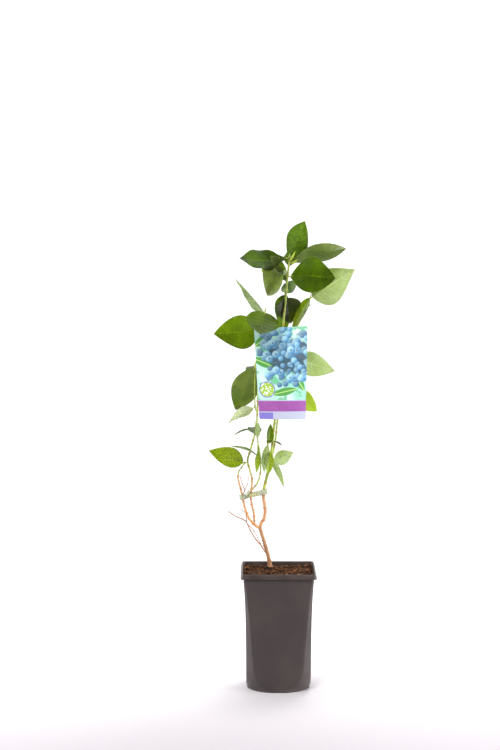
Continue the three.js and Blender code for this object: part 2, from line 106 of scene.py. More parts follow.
class Route:
    """Smooth curve through points, read by the share of its length."""

    SPAN_STEPS = 32
    HALVINGS = 30

    def __init__(self, points: Sequence[Point | Vector]) -> None:
        """Fits the curve.

        Args:
            points: places that it passes through, in millimetres.
        """
        knots = [Vector(point) for point in points]
        knots = [2 * knots[0] - knots[1], *knots, 2 * knots[-1] - knots[-2]]
        self.places = [knots[1]]
        for before, start, end, after in zip(knots, knots[1:], knots[2:], knots[3:]):
            leave, arrive = (end - before) / 2, (after - start) / 2
            for step in range(1, self.SPAN_STEPS + 1):
                t = step / self.SPAN_STEPS
                pull = t * (1 - t) ** 2 * leave - t * t * (1 - t) * arrive
                self.places.append(start.lerp(end, smooth_step(t, 0, 1)) + pull)
        self.reach = [0.0]
        for here, there in zip(self.places, self.places[1:]):
            self.reach.append(self.reach[-1] + (there - here).length)
        self.length = self.reach[-1]

    def at(self, along: float) -> Vector:
        """The point at a share of the curve's length.

        Args:
            along: the share.

        Returns:
            The point.
        """
        wanted = clamp(along) * self.length
        index = int(clamp(bisect.bisect_right(self.reach, wanted), 1, len(self.places) - 1))
        low, high = self.reach[index - 1], self.reach[index]
        return self.places[index - 1].lerp(self.places[index], (wanted - low) / (high - low))

    def share_at(self, height: float) -> float:
        """Where a curve that rises all the way reaches a height.

        Args:
            height: the height.

        Returns:
            The share of the curve's length.
        """
        low, high = 0.0, 1.0
        for _ in range(self.HALVINGS):
            middle = (low + high) / 2
            low, high = (middle, high) if self.at(middle).z < height else (low, middle)
        return low

    def at_height(self, height: float) -> Vector:
        """The point at a height."""
        return self.at(self.share_at(height))

    def frames(self, count: int) -> list[Matrix]:
        """Evenly spaced frames whose Z runs ahead, with no twist from one to the next.

        Args:
            count: number of steps, one less than the number of frames.

        Returns:
            The frames, from the curve's start to its end.
        """
        places = [self.at(step / count) for step in range(count + 1)]
        ends = [places[0], *places, places[-1]]
        ahead = [(after - before).normalized() for before, after in zip(ends, ends[2:])]
        normal = ahead[0].orthogonal().normalized()
        frames = []
        for i, place in enumerate(places):
            if i:
                normal = ahead[i - 1].rotation_difference(ahead[i]) @ normal
            axes = Matrix((normal, ahead[i].cross(normal), ahead[i])).transposed()
            frames.append(Matrix.Translation(place) @ axes.to_4x4())
        return frames


def new_shape() -> BMesh:
    """An empty shape with the painted layers and one UV map.

    Returns:
        The shape.
    """
    shape = bmesh.new()
    for layer in Layer:
        shape.verts.layers.float.new(layer.value)
    shape.loops.layers.uv.new(UV_NAME)
    return shape


def paint(shape: BMesh, layer: Layer, value: float | Callable[[BMVert], float]) -> None:
    """Paints a layer.

    Args:
        shape: what is painted.
        layer: the layer that is written.
        value: one value, or a function of the vertex.
    """
    store = shape.verts.layers.float[layer.value]
    for vert in shape.verts:
        vert[store] = value(vert) if callable(value) else value


def baked(shape: BMesh, name: str) -> bpy.types.Mesh:
    """Makes a mesh of a shape, which is used up.

    Args:
        shape: the shape.
        name: the mesh's name.

    Returns:
        The mesh.
    """
    mesh = bpy.data.meshes.new(name)
    shape.to_mesh(mesh)
    shape.free()
    return mesh


def placed(name: str, data: bpy.types.ID) -> bpy.types.Object:
    """Puts a new object in the scene.

    Args:
        name: its name.
        data: its mesh, light or camera.

    Returns:
        The object.
    """
    made = bpy.data.objects.new(name, data)
    bpy.context.scene.collection.objects.link(made)
    return made


def bent_tube(route: Route, rings: int, sides: int, radius: Callable[[float, float], float]) -> BMesh:
    """A closed tube bent along a route.

    Args:
        route: the tube's axis.
        rings: number of steps along it.
        sides: number of faces round it.
        radius: radius by the share of the length and the angle round the axis.

    Returns:
        The shape, with its ends closed by flat faces.
    """
    shape = new_shape()
    bmesh.ops.create_cone(
        shape, cap_ends=True, cap_tris=False, segments=sides, radius1=1, radius2=1, depth=1
    )
    upright = [edge for edge in shape.edges if abs(edge.verts[0].co.z - edge.verts[1].co.z) > 0.5]
    bmesh.ops.subdivide_edges(shape, edges=upright, cuts=rings - 1, use_grid_fill=True)
    frames = route.frames(rings)
    for vert in shape.verts:
        along = vert.co.z + 0.5
        angle = math.atan2(vert.co.y, vert.co.x)
        vert.co = frames[round(along * rings)] @ around(angle, radius(along, angle))
    return shape


def bent_slab(columns: int, rows: int, bend: Bend) -> BMesh:
    """A thin closed slab bent into shape, with its UV map laid flat.

    Args:
        columns: cells along it.
        rows: cells across it.
        bend: place by the share along it (0 to 1), across it (-1 to 1) and down through it (0 to 1).

    Returns:
        The shape. Its faces have material number 0, and 1 on its under side.
    """
    shape = new_shape()
    bmesh.ops.create_grid(shape, x_segments=columns, y_segments=rows, size=1)
    made = bmesh.ops.extrude_face_region(shape, geom=shape.faces[:])
    under = [item for item in made["geom"] if isinstance(item, BMVert)]
    bmesh.ops.translate(shape, verts=under, vec=(0, 0, -1))
    bmesh.ops.recalc_face_normals(shape, faces=shape.faces)
    flat = shape.loops.layers.uv[UV_NAME]
    for face in shape.faces:
        face.material_index = int(all(vert.co.z < -0.5 for vert in face.verts))
        for loop in face.loops:
            loop[flat].uv = ((loop.vert.co.x + 1) / 2, (loop.vert.co.y + 1) / 2)
    for vert in shape.verts:
        vert.co = bend((vert.co.x + 1) / 2, vert.co.y, -vert.co.z)
    return shape


def bead(place: Vector, ahead: Vector, size: Point, detail: int = 1, rough: float = 0.0) -> BMesh:
    """A small round or uneven bead.

    Args:
        place: its middle.
        ahead: the way that its length points.
        size: its half sizes, with the length last.
        detail: how finely it is divided.
        rough: how far its surface is pushed in and out, as a share of its size.

    Returns:
        The shape.
    """
    shape = new_shape()
    bmesh.ops.create_icosphere(shape, subdivisions=detail, radius=1)
    for vert in shape.verts:
        push = 1 + rough * noise.noise(vert.co * 1.7 + place)
        vert.co = Vector(vert.co[i] * size[i] * push for i in range(3))
    turn = ahead.to_track_quat("Z", "Y").to_matrix().to_4x4()
    bmesh.ops.transform(shape, matrix=Matrix.Translation(place) @ turn, verts=shape.verts)
    return shape


# ---- shader wiring


def tint(code: str) -> tuple[float, ...]:
    """A screen colour, such as #406020, in the linear values that a shader takes."""
    screen = Color([int(code[i : i + 2], 16) / 255 for i in (1, 3, 5)])
    return (*screen.from_srgb_to_scene_linear(), 1.0)


class Signal:
    """A value, vector or colour on its way through a shader. Values can be reckoned with."""

    def __init__(self, wires: "Wiring", socket: Socket) -> None:
        """Keeps the socket that it comes from, and the wiring that joins it on."""
        self.wires = wires
        self.socket = socket

    def __add__(self, other: "Plug") -> "Signal":
        """The sum of two values."""
        return self.wires.maths("ADD", self, other)

    def __sub__(self, other: "Plug") -> "Signal":
        """The difference of two values."""
        return self.wires.maths("SUBTRACT", self, other)

    def __mul__(self, other: "Plug") -> "Signal":
        """The product of two values."""
        return self.wires.maths("MULTIPLY", self, other)

    def __abs__(self) -> "Signal":
        """The value without its sign."""
        return self.wires.maths("ABSOLUTE", self)

    def rise(self, low: "Plug", high: "Plug", out_low: float = 0.0, out_high: float = 1.0) -> "Signal":
        """The value carried smoothly from one range to another, and held at its ends."""
        inputs = {0: self, 1: low, 2: high, 3: out_low, 4: out_high}
        return self.wires.read(self.wires.add("MapRange", inputs, interpolation_type="SMOOTHSTEP"))


Plug = Signal | str | float | tuple[float, ...]


class Wiring:
    """Adds shader nodes to one tree and joins their sockets."""

    def __init__(self, tree: bpy.types.NodeTree) -> None:
        """Keeps the tree that it works on."""
        self.tree = tree

    def plug(self, socket: Socket, value: Plug) -> None:
        """Joins a value to a socket.

        Args:
            socket: where it goes.
            value: a signal, which is linked, or a constant or a screen colour, which is set.
        """
        if isinstance(value, Signal):
            self.tree.links.new(value.socket, socket)
        else:
            socket.default_value = tint(value) if isinstance(value, str) else value

    def add(self, kind: str, inputs: dict[str | int, Plug] | None = None, **settings: object) -> Node:
        """Adds a node.

        Args:
            kind: the node's type, without its ShaderNode prefix.
            inputs: what its inputs get, by name or number.
            settings: its other properties.

        Returns:
            The node.
        """
        node = self.tree.nodes.new("ShaderNode" + kind)
        for name, value in settings.items():
            setattr(node, name, value)
        for name, value in (inputs or {}).items():
            self.plug(node.inputs[name], value)
        return node

    def read(self, node: Node, output: str | int = 0) -> Signal:
        """The signal at one output of a node."""
        return Signal(self, node.outputs[output])

    def maths(self, operation: str, *values: Plug) -> Signal:
        """The result of a Math node."""
        return self.read(self.add("Math", dict(enumerate(values)), operation=operation))

    def offset(self, vector: Signal, shift: Point) -> Signal:
        """A vector moved by a constant."""
        return self.read(self.add("VectorMath", {0: vector, 1: shift}, operation="ADD"))

    def distance(self, vector: Signal, middle: Pair) -> Signal:
        """How far a vector is from a point of its XY plane."""
        node = self.add("VectorMath", {0: vector, 1: (*middle, 0.0)}, operation="DISTANCE")
        return self.read(node, "Value")

    def mix(self, share: Plug, low: Plug, high: Plug) -> Signal:
        """Two colours mixed by a share, with low where it is 0."""
        return self.read(self.add("Mix", {0: share, 6: low, 7: high}, data_type="RGBA"), 2)

    def noise(self, vector: Signal, scale: Plug, detail: float = 3.0, roughness: float = 0.5) -> Signal:
        """Cloudy noise around one half."""
        inputs = {"Vector": vector, "Scale": scale, "Detail": detail, "Roughness": roughness}
        return self.read(self.add("TexNoise", inputs))

    def painted(self, layer: Layer) -> Signal:
        """The value painted in a layer."""
        return self.read(self.add("Attribute", attribute_name=layer.value), "Fac")

    @cached_property
    def place(self) -> Signal:
        """The place on the object, in metres."""
        return self.read(self.add("TexCoord"), "Object")

    @cached_property
    def flat_place(self) -> Signal:
        """The place on the piece's own UV map."""
        return self.read(self.add("UVMap", uv_map=UV_NAME))

    def split(self, vector: Signal) -> list[Signal]:
        """The X, Y and Z of a vector."""
        node = self.add("SeparateXYZ", {0: vector})
        return [self.read(node, number) for number in range(3)]

    def join(self, x: Plug, y: Plug, z: Plug = 0.0) -> Signal:
        """A vector from its X, Y and Z."""
        return self.read(self.add("CombineXYZ", {0: x, 1: y, 2: z}))

    def effect(self, name: str, **inputs: Plug) -> dict[str, Signal]:
        """Places a shared effect with this material's own values, and gives its outputs by name."""
        node = self.add("Group", inputs, node_tree=bpy.data.node_groups[name])
        return {output.name: Signal(self, output) for output in node.outputs}

    def mottle(self, scale: float, specks: float = 0.4, place: Signal | None = None) -> Signal:
        """The mottle effect, on the object itself unless a place is given."""
        return self.effect("mottle", Vector=place or self.place, Scale=scale, Specks=specks)["Value"]

    def streaks(self, scale: float, stretch: float) -> Signal:
        """The streaks effect on the object."""
        return self.effect("streaks", Vector=self.place, Scale=scale, Stretch=stretch)["Height"]

    def bump(self, height: Plug, distance: float, strength: float) -> Signal:
        """A normal from a height, whose full range is that many millimetres, sunk if it is below 0."""
        inputs = {"Height": height, "Distance": abs(distance) * MM, "Strength": strength}
        return self.read(self.add("Bump", inputs, invert=distance < 0))

    def feed(self, inputs: dict[str, Plug]) -> None:
        """Joins values to the material's Principled shader, by the names of its inputs."""
        for name, value in inputs.items():
            self.plug(self.tree.nodes["Principled BSDF"].inputs[name], value)


class Effect:
    """A shader effect that several finishes share, as a node group that is built once.

    It has a vector input and the ones named in INPUTS, with their defaults.
    """

    NAME = ""
    INPUTS: dict[str, float] = {}

    def build(self) -> None:
        """Makes the group."""
        tree = bpy.data.node_groups.new(self.NAME, "ShaderNodeTree")
        tree.interface.new_socket(name="Vector", in_out="INPUT", socket_type="NodeSocketVector")
        for key, value in self.INPUTS.items():
            made = tree.interface.new_socket(name=key, in_out="INPUT", socket_type="NodeSocketFloat")
            made.default_value = value
        wires = Wiring(tree)
        arriving = tree.nodes.new("NodeGroupInput")
        results = self.wire(wires, {key: wires.read(arriving, key) for key in ("Vector", *self.INPUTS)})
        for key in results:
            tree.interface.new_socket(name=key, in_out="OUTPUT", socket_type="NodeSocketFloat")
        leaving = tree.nodes.new("NodeGroupOutput")
        for key, value in results.items():
            wires.plug(leaving.inputs[key], value)

    def wire(self, wires: Wiring, given: dict[str, Signal]) -> dict[str, Signal]:
        """Wires the group; each effect has its own way.

        Args:
            wires: the group's wiring.
            given: its inputs.

        Returns:
            Its outputs, all of them values.
        """
        raise NotImplementedError


class Mottle(Effect):
    """Soft blotches with finer specks in them, from 0 to 1."""

    NAME = "mottle"
    INPUTS = {"Scale": 100.0, "Specks": 0.4}

    def wire(self, wires: Wiring, given: dict[str, Signal]) -> dict[str, Signal]:
        """Adds fine noise to broad noise.

        Args:
            wires: the group's wiring.
            given: its inputs.

        Returns:
            Its output.
        """
        broad = wires.noise(given["Vector"], given["Scale"])
        fine = wires.noise(given["Vector"], given["Scale"] * 6.3, detail=2.0)
        value = (broad - 0.5) * 2.4 + (fine - 0.5) * given["Specks"]
        return {"Value": value.rise(-0.5, 0.5)}


class Streaks(Effect):
    """Fine upright streaks, as of bark fibres or moulding marks, from 0 to 1."""

    NAME = "streaks"
    INPUTS = {"Scale": 900.0, "Stretch": 0.08}

    def wire(self, wires: Wiring, given: dict[str, Signal]) -> dict[str, Signal]:
        """Draws noise out along Z.

        Args:
            wires: the group's wiring.
            given: its inputs.

        Returns:
            Its output.
        """
        x, y, z = wires.split(given["Vector"])
        drawn = wires.join(x, y, z * given["Stretch"])
        return {"Height": wires.noise(drawn, given["Scale"], detail=4.0, roughness=0.6).rise(0.3, 0.7)}


class Veins(Effect):
    """A leaf's midrib and side veins, and the quilting between them.

    Lines is 1 on a vein, Net is the fine net of small veins and Quilt is highest between side
    veins. The vector is the blade's UV map: X from base to tip and Y across.
    """

    NAME = "veins"
    INPUTS = {"Pairs": 6.5}

    def wire(self, wires: Wiring, given: dict[str, Signal]) -> dict[str, Signal]:
        """Draws veins by their distance, in shares of the blade, from lines that sweep outwards.

        Args:
            wires: the group's wiring.
            given: its inputs.

        Returns:
            Its outputs.
        """
        along, beside, _ = wires.split(given["Vector"])
        across = abs(beside * 2.0 - 1.0)
        swept = along - wires.maths("POWER", across, 1.2) * 0.2
        off_vein = abs(wires.maths("FRACT", swept * given["Pairs"]) - 0.5)
        side_vein = off_vein.rise(across * -0.05 + 0.085, 0.0) * across.rise(0.95, 0.55)
        midrib = across.rise(along * -0.04 + 0.075, 0.012)
        net_place = wires.join(along * 2.0, beside)
        cells = wires.add("TexVoronoi", {"Vector": net_place, "Scale": 26.0}, feature="DISTANCE_TO_EDGE")
        return {
            "Lines": wires.maths("MAXIMUM", midrib, side_vein),
            "Net": wires.read(cells, "Distance").rise(0.1, 0.0),
            "Quilt": off_vein.rise(0.0, 0.5),
        }


# ---- finishes


@dataclass(frozen=True)
class Finish:
    """A surface finish round one Principled shader."""

    name: str
    deep: str
    light: str
    roughness: float = 0.5
    specular: float = 0.5
    slot: str = ""

    @cached_property
    def material(self) -> bpy.types.Material:
        """The material, made when it is first asked for.

        Returns:
            The material.
        """
        material = bpy.data.materials.new(self.name)
        material.use_nodes = True
        wires = Wiring(material.node_tree)
        wires.feed({"Roughness": self.roughness, "Specular IOR Level": self.specular})
        self.dress(wires)
        return material

    def dress(self, wires: Wiring) -> None:
        """Wires what is the finish's own; each kind has one.

        Args:
            wires: the material's wiring.
        """
        raise NotImplementedError


@dataclass(frozen=True)
class LeafFinish(Finish):
    """One side of a leaf: veins that sink into the waxy upper side or stand out of the pale one."""

    roughness: float = 0.36
    specular: float = 0.16
    slot: str = "leaf"
    vein: str = "#8c9c34"
    vein_share: float = 0.05
    relief: float = 0.25  # millimetres that veins sink; below 0 where they stand out
    glow: float = 0.42
    glow_reach: Point = (4.0, 5.6, 0.3)  # millimetres, for red, green and blue

    def dress(self, wires: Wiring) -> None:
        """Wires soft blotches, veins, painted light on the bulges between veins, and the light that comes
        through the blade.

        Args:
            wires: the material's wiring.
        """
        mottle = wires.mottle(scale=26.0, specks=0.05)
        veins = wires.effect("veins", Vector=wires.flat_place)
        # painted light: the blade's colour is a little lighter on its bulges between the side veins
        base = wires.mix(mottle * 0.85 + veins["Quilt"] * 0.06, self.deep, self.light)
        base = wires.mix(veins["Net"] * 0.04, base, self.deep)
        height = veins["Quilt"] * 0.5 - veins["Lines"] * 0.6 - veins["Net"] * 0.04
        wires.feed({
            "Base Color": wires.mix(veins["Lines"] * self.vein_share, base, self.vein),
            "Roughness": mottle * 0.12 + (self.roughness - 0.06),
            "Normal": wires.bump(height, distance=self.relief, strength=0.5),
            "Subsurface Weight": self.glow,
            "Subsurface Radius": self.glow_reach,
            "Subsurface Scale": MM,
        })


@dataclass(frozen=True)
class UnderFinish(LeafFinish):
    """The matt pale side of a leaf, with its veins standing out."""

    roughness: float = 0.62
    specular: float = 0.25
    vein: str = "#d0e0ae"
    vein_share: float = 0.22
    relief: float = -0.25
    glow: float = 0.2


class Coat(Enum):
    """Kinds of leaf surface, by how dark and how yellow they look. Some of them paint light or shade into the
    colour.
    """

    # painted shade: a very dark green for a leaf that lies in the shade of others
    SHADED = LeafFinish("leaf_shaded", "#14180a", "#24270c", glow=0.2)
    # painted sheen: a greyer green stands in for the whitish sheen of a glossy leaf
    PAINTED_SHEEN = LeafFinish("leaf_painted_sheen", "#303c1d", "#556639", specular=0.42, glow=0.15)
    # painted sheen in painted shade: a darker copy of the greyed sheen green
    PAINTED_SHADED_SHEEN = LeafFinish("leaf_painted_shaded_sheen", "#1e2612", "#3a4627", specular=0.42, glow=0.15)
    GREEN = LeafFinish("leaf_green", "#121804", "#283304")
    FRESH = LeafFinish("leaf_fresh", "#1e2404", "#374105")
    LUSH = LeafFinish("leaf_lush", "#2e3b04", "#434f12", glow=0.36)
    BRIGHT = LeafFinish("leaf_bright", "#52661c", "#7d9137")
    YOUNG = LeafFinish("leaf_young", "#93a532", "#b3c357")
    # painted highlight: a pale grey-green stands in for whitish glints along the veins
    PAINTED_HIGHLIGHT = LeafFinish("leaf_painted_highlight", "#41522c", "#6f805c", specular=0.55, glow=0.15)
    SOFT = UnderFinish("leaf_soft", "#687b4c", "#869770")
    PALE = UnderFinish("leaf_pale", "#718654", "#92a47d")
    WHITISH = UnderFinish("leaf_whitish", "#94a27e", "#b8c0a4")


@dataclass(frozen=True)
class StemFinish(Finish):
    """Skin of a stem: green where it is young, fissured brown bark where it is old."""

    deep: str = "#a06c44"
    light: str = "#dca878"
    roughness: float = 0.42
    slot: str = "bark"
    young: str = "#adba50"
    young_shade: str = "#7f9036"
    flush: str = "#b0664a"

    def dress(self, wires: Wiring) -> None:
        """Wires skin and bark, mixed by the painted age, with a red flush where the tone is low.

        Args:
            wires: the material's wiring.
        """
        age = wires.painted(Layer.AGE)
        mottle = wires.mottle(scale=160.0, specks=0.8)
        fibres = wires.streaks(scale=1100.0, stretch=0.07)
        green = wires.mix(mottle, self.young_shade, self.young)
        bark = wires.mix(mottle * 0.5, wires.mix(fibres, self.deep, self.light), self.light)
        blush = wires.painted(Layer.TONE).rise(0.5, 0.0, 0.0, 0.8)
        wires.feed({
            "Base Color": wires.mix(blush, wires.mix(age, green, bark), self.flush),
            "Roughness": age * 0.3 + self.roughness,
            "Normal": wires.bump(fibres * (age * 0.8 + 0.2), distance=0.25, strength=0.7),
        })


@dataclass(frozen=True)
class DryFinish(Finish):
    """Dead grey-brown wood, redder towards its tips."""

    tip: str = "#bc8a76"

    def dress(self, wires: Wiring) -> None:
        """Wires streaks of grey and brown, with the tone for the tips.

        Args:
            wires: the material's wiring.
        """
        fibres = wires.streaks(scale=1400.0, stretch=0.1)
        wood = wires.mix(fibres * wires.mottle(scale=220.0, specks=0.6), self.deep, self.light)
        wires.feed({
            "Base Color": wires.mix(wires.painted(Layer.TONE) * 0.6, wood, self.tip),
            "Normal": wires.bump(fibres, distance=0.15, strength=0.6),
        })


@dataclass(frozen=True)
class PotFinish(Finish):
    """Thin moulded plastic, dark warm grey, with faint scuffs and dust towards the rim and the foot."""

    dust: str = "#6f625c"
    dusty_from: float = 0.204  # metres up, under the rim
    dusty_to: float = 0.012  # metres up, over the foot

    def dress(self, wires: Wiring) -> None:
        """Wires flow marks, scuffs and dust.

        Args:
            wires: the material's wiring.
        """
        cloud = wires.mottle(scale=14.0, specks=0.25)
        grain = wires.mottle(scale=700.0, specks=0.5)
        flow = wires.streaks(scale=220.0, stretch=0.05)
        base = wires.mix(flow * 0.08 + cloud * 0.9, self.deep, self.light)
        _, _, height = wires.split(wires.place)
        near_rim = height.rise(self.dusty_from, self.dusty_from + 0.012)
        dusty = wires.maths("MAXIMUM", near_rim, height.rise(self.dusty_to, 0.0)) * grain * cloud * 0.5
        wires.feed({
            "Base Color": wires.mix(dusty, base, self.dust),
            "Roughness": dusty * 0.4 + cloud * 0.14 + (self.roughness - 0.07),
            "Normal": wires.bump(flow * 0.2 + grain * 0.35, distance=0.06, strength=0.4),
        })


@dataclass(frozen=True)
class PeatFinish(Finish):
    """Moist peat."""

    roughness: float = 0.85
    specular: float = 0.35
    slot: str = "peat"

    def dress(self, wires: Wiring) -> None:
        """Wires crumbs and damp patches.

        Args:
            wires: the material's wiring.
        """
        patch = wires.mottle(scale=60.0, specks=0.5)
        crumb = wires.mottle(scale=500.0, specks=1.0)
        wires.feed({
            "Base Color": wires.mix(patch * crumb, self.deep, self.light),
            "Roughness": patch * -0.25 + self.roughness,
            "Normal": wires.bump(crumb, distance=0.8, strength=0.8),
        })


@dataclass(frozen=True)
class FeltFinish(Finish):
    """Fluffy hook-and-loop strip, grey-green."""

    olive: str = "#cfc98e"

    def dress(self, wires: Wiring) -> None:
        """Wires the woven ground and its looser loops, more olive where the painted age is high.

        Args:
            wires: the material's wiring.
        """
        loops = wires.mottle(scale=700.0, specks=1.0)
        ground = wires.mix(loops * 0.6 + wires.painted(Layer.TONE) * 0.4, self.deep, self.light)
        wires.feed({
            "Base Color": wires.mix(wires.painted(Layer.AGE) * 0.75, ground, self.olive),
            "Normal": wires.bump(loops, distance=0.5, strength=0.9),
        })


@dataclass(frozen=True)
class PrintedLeaf:
    """A pointed leaf in the card's picture, in shares of the card's height."""

    middle: Pair
    half_length: float
    half_width: float
    slant: float  # degrees that it leans from level


@dataclass(frozen=True)
class Disc:
    """A round part of the card's picture, in shares of the card's height."""

    middle: Pair
    radius: float


@dataclass(frozen=True)
class CardFinish(Finish):
    """Printed wipe-clean card: a generic picture of a heap of round berries, with no words.

    The picture is laid out on the card's UV map, X up the card and Y across it. Its sizes are
    shares of the card's height. Its deep and light colours are those of the far background.
    """

    aspect: float = 0.54  # the card's width to its height
    rows: float = 11.5  # berries in the card's height
    heap: Disc = Disc((0.36, 0.68), 0.29)
    inset: Disc = Disc((0.105, 0.325), 0.078)
    leaves: tuple[PrintedLeaf, ...] = (
        PrintedLeaf((0.1, 0.88), 0.15, 0.05, 38),
        PrintedLeaf((0.08, 0.62), 0.14, 0.05, -24),
        PrintedLeaf((0.3, 0.3), 0.15, 0.045, 12),
        PrintedLeaf((0.46, 0.4), 0.12, 0.045, -58),
    )
    strip_top: float = 0.085
    band_top: float = 0.2
    rule_top: float = 0.212
    green: str = "#52b478"
    leaf: str = "#4c9a3c"
    leaf_rib: str = "#b6dc86"
    berry: str = "#a6d4e4"
    berry_shade: str = "#3f86b8"
    crown: str = "#234579"
    hollow: str = "#1b3458"
    plum: str = "#7c2d82"
    plum_light: str = "#ad5fb2"
    strip: str = "#b4b9cf"
    violet: str = "#7b72c6"
    lime: str = "#9cc43c"
    haze: str = "#e8ebe6"

    def ground(self, wires: Wiring, place: Signal) -> Signal:
        """Out of focus greenery, with pointed leaves before it.

        Args:
            wires: the material's wiring.
            place: place on the card.

        Returns:
            Its colour.
        """
        colour = wires.mix(wires.mottle(scale=3.2, specks=0.1, place=place), self.deep, self.light)
        leafy = wires.mottle(scale=7.5, specks=0.0, place=place).rise(0.55, 0.85, 0.0, 0.8)
        colour = wires.mix(leafy, colour, self.green)
        x, y, _ = wires.split(place)
        for leaf in self.leaves:
            off_x, off_y = x - leaf.middle[0], y - leaf.middle[1]
            cosine, sine = around(math.radians(leaf.slant)).xy
            along = (off_x * cosine + off_y * sine) * (1 / leaf.half_length)
            beside = abs((off_y * cosine - off_x * sine) * (1 / leaf.half_width))
            blade = wires.mix(beside.rise(0.16, 0.06), self.leaf, self.leaf_rib)
            colour = wires.mix((along * along + beside).rise(1.0, 0.88), colour, blade)
        return colour

    def berries(self, wires: Wiring, place: Signal, under: Signal, sunk: float) -> Signal:
        """A layer of round berries in a heap, each shaded towards its rim and with a crown.

        Args:
            wires: the material's wiring.
            place: place on the card.
            under: colour that shows between them.
            sunk: 0 on the front layer, towards 1 on one deep in the heap.

        Returns:
            The colour.
        """
        shift = Vector((3.7, 5.3, 0.0)) * sunk
        moved = wires.offset(place, shift[:])
        cells = wires.add("TexVoronoi", {"Vector": moved, "Scale": self.rows, "Randomness": 0.66})
        reach, middle = wires.read(cells, "Distance"), wires.read(cells, "Position")
        (x, y, _), (middle_x, middle_y, _) = wires.split(moved), wires.split(middle)
        near = wires.offset(middle, (-shift)[:])
        edge = wires.distance(near, self.heap.middle) + (wires.noise(near, scale=5.0) * 0.3 - 0.15)
        present = wires.maths("LESS_THAN", edge, self.heap.radius + 0.05 * sunk)
        slant = (x - middle_x) + (middle_y - y)
        lit = (slant * (self.rows * 0.7) + reach).rise(0.0, 0.75)
        crown = abs(reach - 0.14).rise(0.07, 0.02, 0.0, 0.7)
        colour = wires.mix(crown, wires.mix(lit, self.berry, self.berry_shade), self.crown)
        colour = wires.mix(0.5 * sunk, colour, self.hollow)
        return wires.mix(reach.rise(0.52, 0.47) * present, under, colour)

    def dress(self, wires: Wiring) -> None:
        """Wires the picture and the plain bands under it.

        Args:
            wires: the material's wiring.
        """
        up, beside, _ = wires.split(wires.flat_place)
        place = wires.join(beside * self.aspect, up)
        radius = self.heap.radius
        ragged = wires.noise(place, scale=9.0) * 0.3 + wires.distance(place, self.heap.middle)
        dark = ragged.rise(radius + 0.1, radius + 0.05, 0.0, 0.9)
        colour = wires.mix(dark, self.ground(wires, place), self.hollow)
        for sunk in (1.0, 0.5, 0.0):
            colour = self.berries(wires, place, colour, sunk)

        radius = self.inset.radius
        gap = wires.distance(place, self.inset.middle)
        sprig = wires.read(wires.add("TexVoronoi", {"Vector": place, "Scale": 42.0}))
        colour = wires.mix(gap.rise(radius + 0.012, radius + 0.009), colour, self.violet)
        flowers = wires.mix(sprig.rise(0.3, 0.42), WHITE, self.lime)
        colour = wires.mix(gap.rise(radius + 0.002, radius - 0.001), colour, flowers)

        sheen = wires.mix(wires.noise(place, scale=6.0), self.plum, self.plum_light)
        bands = ((self.rule_top, self.strip), (self.band_top, sheen), (self.strip_top, self.strip))
        for top, print_colour in bands:
            colour = wires.mix(wires.maths("LESS_THAN", up, top), colour, print_colour)
        low = wires.maths("LESS_THAN", up, self.strip_top - 0.012)
        colour = wires.mix(low * wires.maths("LESS_THAN", beside, 0.3), colour, self.violet)
        fleck = wires.mottle(scale=900.0)
        wires.feed({
            "Base Color": wires.mix(fleck * 0.06, colour, self.haze),
            "Roughness": fleck * 0.1 + self.roughness,
            "Normal": wires.bump(fleck, distance=0.02, strength=0.4),
        })


@dataclass(frozen=True)
class CardBackFinish(Finish):
    """Bare back of the card and its straps: white plastic, a little cloudy."""

    def dress(self, wires: Wiring) -> None:
        """Wires faint clouds and a fine grain.

        Args:
            wires: the material's wiring.
        """
        grain = wires.mottle(scale=900.0, specks=0.5)
        wires.feed({
            "Base Color": wires.mix(wires.mottle(scale=40.0, specks=0.3), self.deep, self.light),
            "Roughness": grain * 0.1 + self.roughness,
            "Normal": wires.bump(grain, distance=0.03, strength=0.4),
        })


@dataclass(frozen=True)
class FloorFinish(Finish):
    """Plain pale floor, with painted shade that makes it a little darker towards its front."""

    def dress(self, wires: Wiring) -> None:
        """Wires the painted shade: its colour falls along Y, darker towards the front."""
        _, away, _ = wires.split(wires.place)
        wires.feed({"Base Color": wires.mix(away.rise(0.8, -0.6), self.light, self.deep)})


SHOOT = StemFinish("green_shoot", slot="green_stem")
BARK = StemFinish("young_bark", "#a8703f", "#e4ac78")
OLD_BARK = StemFinish("old_bark", "#7c573a", "#cf9c70", 0.5)
DEAD_WOOD = DryFinish("dead_wood", "#8c624c", "#d2aa90", 0.8, 0.3, "dry_wood")
POT_PLASTIC = PotFinish("pot_plastic", "#332b2a", "#3f3534", 0.37, slot="pot_plastic")
PEAT = PeatFinish("moist_peat", "#1e1009", "#6a4322", 0.9)
PEAT_CRUMB = PeatFinish("brown_crumb", "#4c2a12", "#9c5f33")
PEAT_STRAW = PeatFinish("straw_fibre", "#7c5438", "#b88a66", specular=0.3)
FELT = FeltFinish("tie_felt", "#949b7c", "#cdd2b8", 0.95, 0.2, "tie_felt")
CARD = CardFinish("picture_card", "#84cfb6", "#d4eae8", 0.32, slot="label_card")
CARD_BACK = CardBackFinish("card_back", "#d9dcd6", "#eff1ec", 0.4, slot="label_card")
# the floor's deep colour is painted shade, at its front
FLOOR = FloorFinish("studio_white", "#b2acb1", "#fdfcfd", 0.9, 0.1)


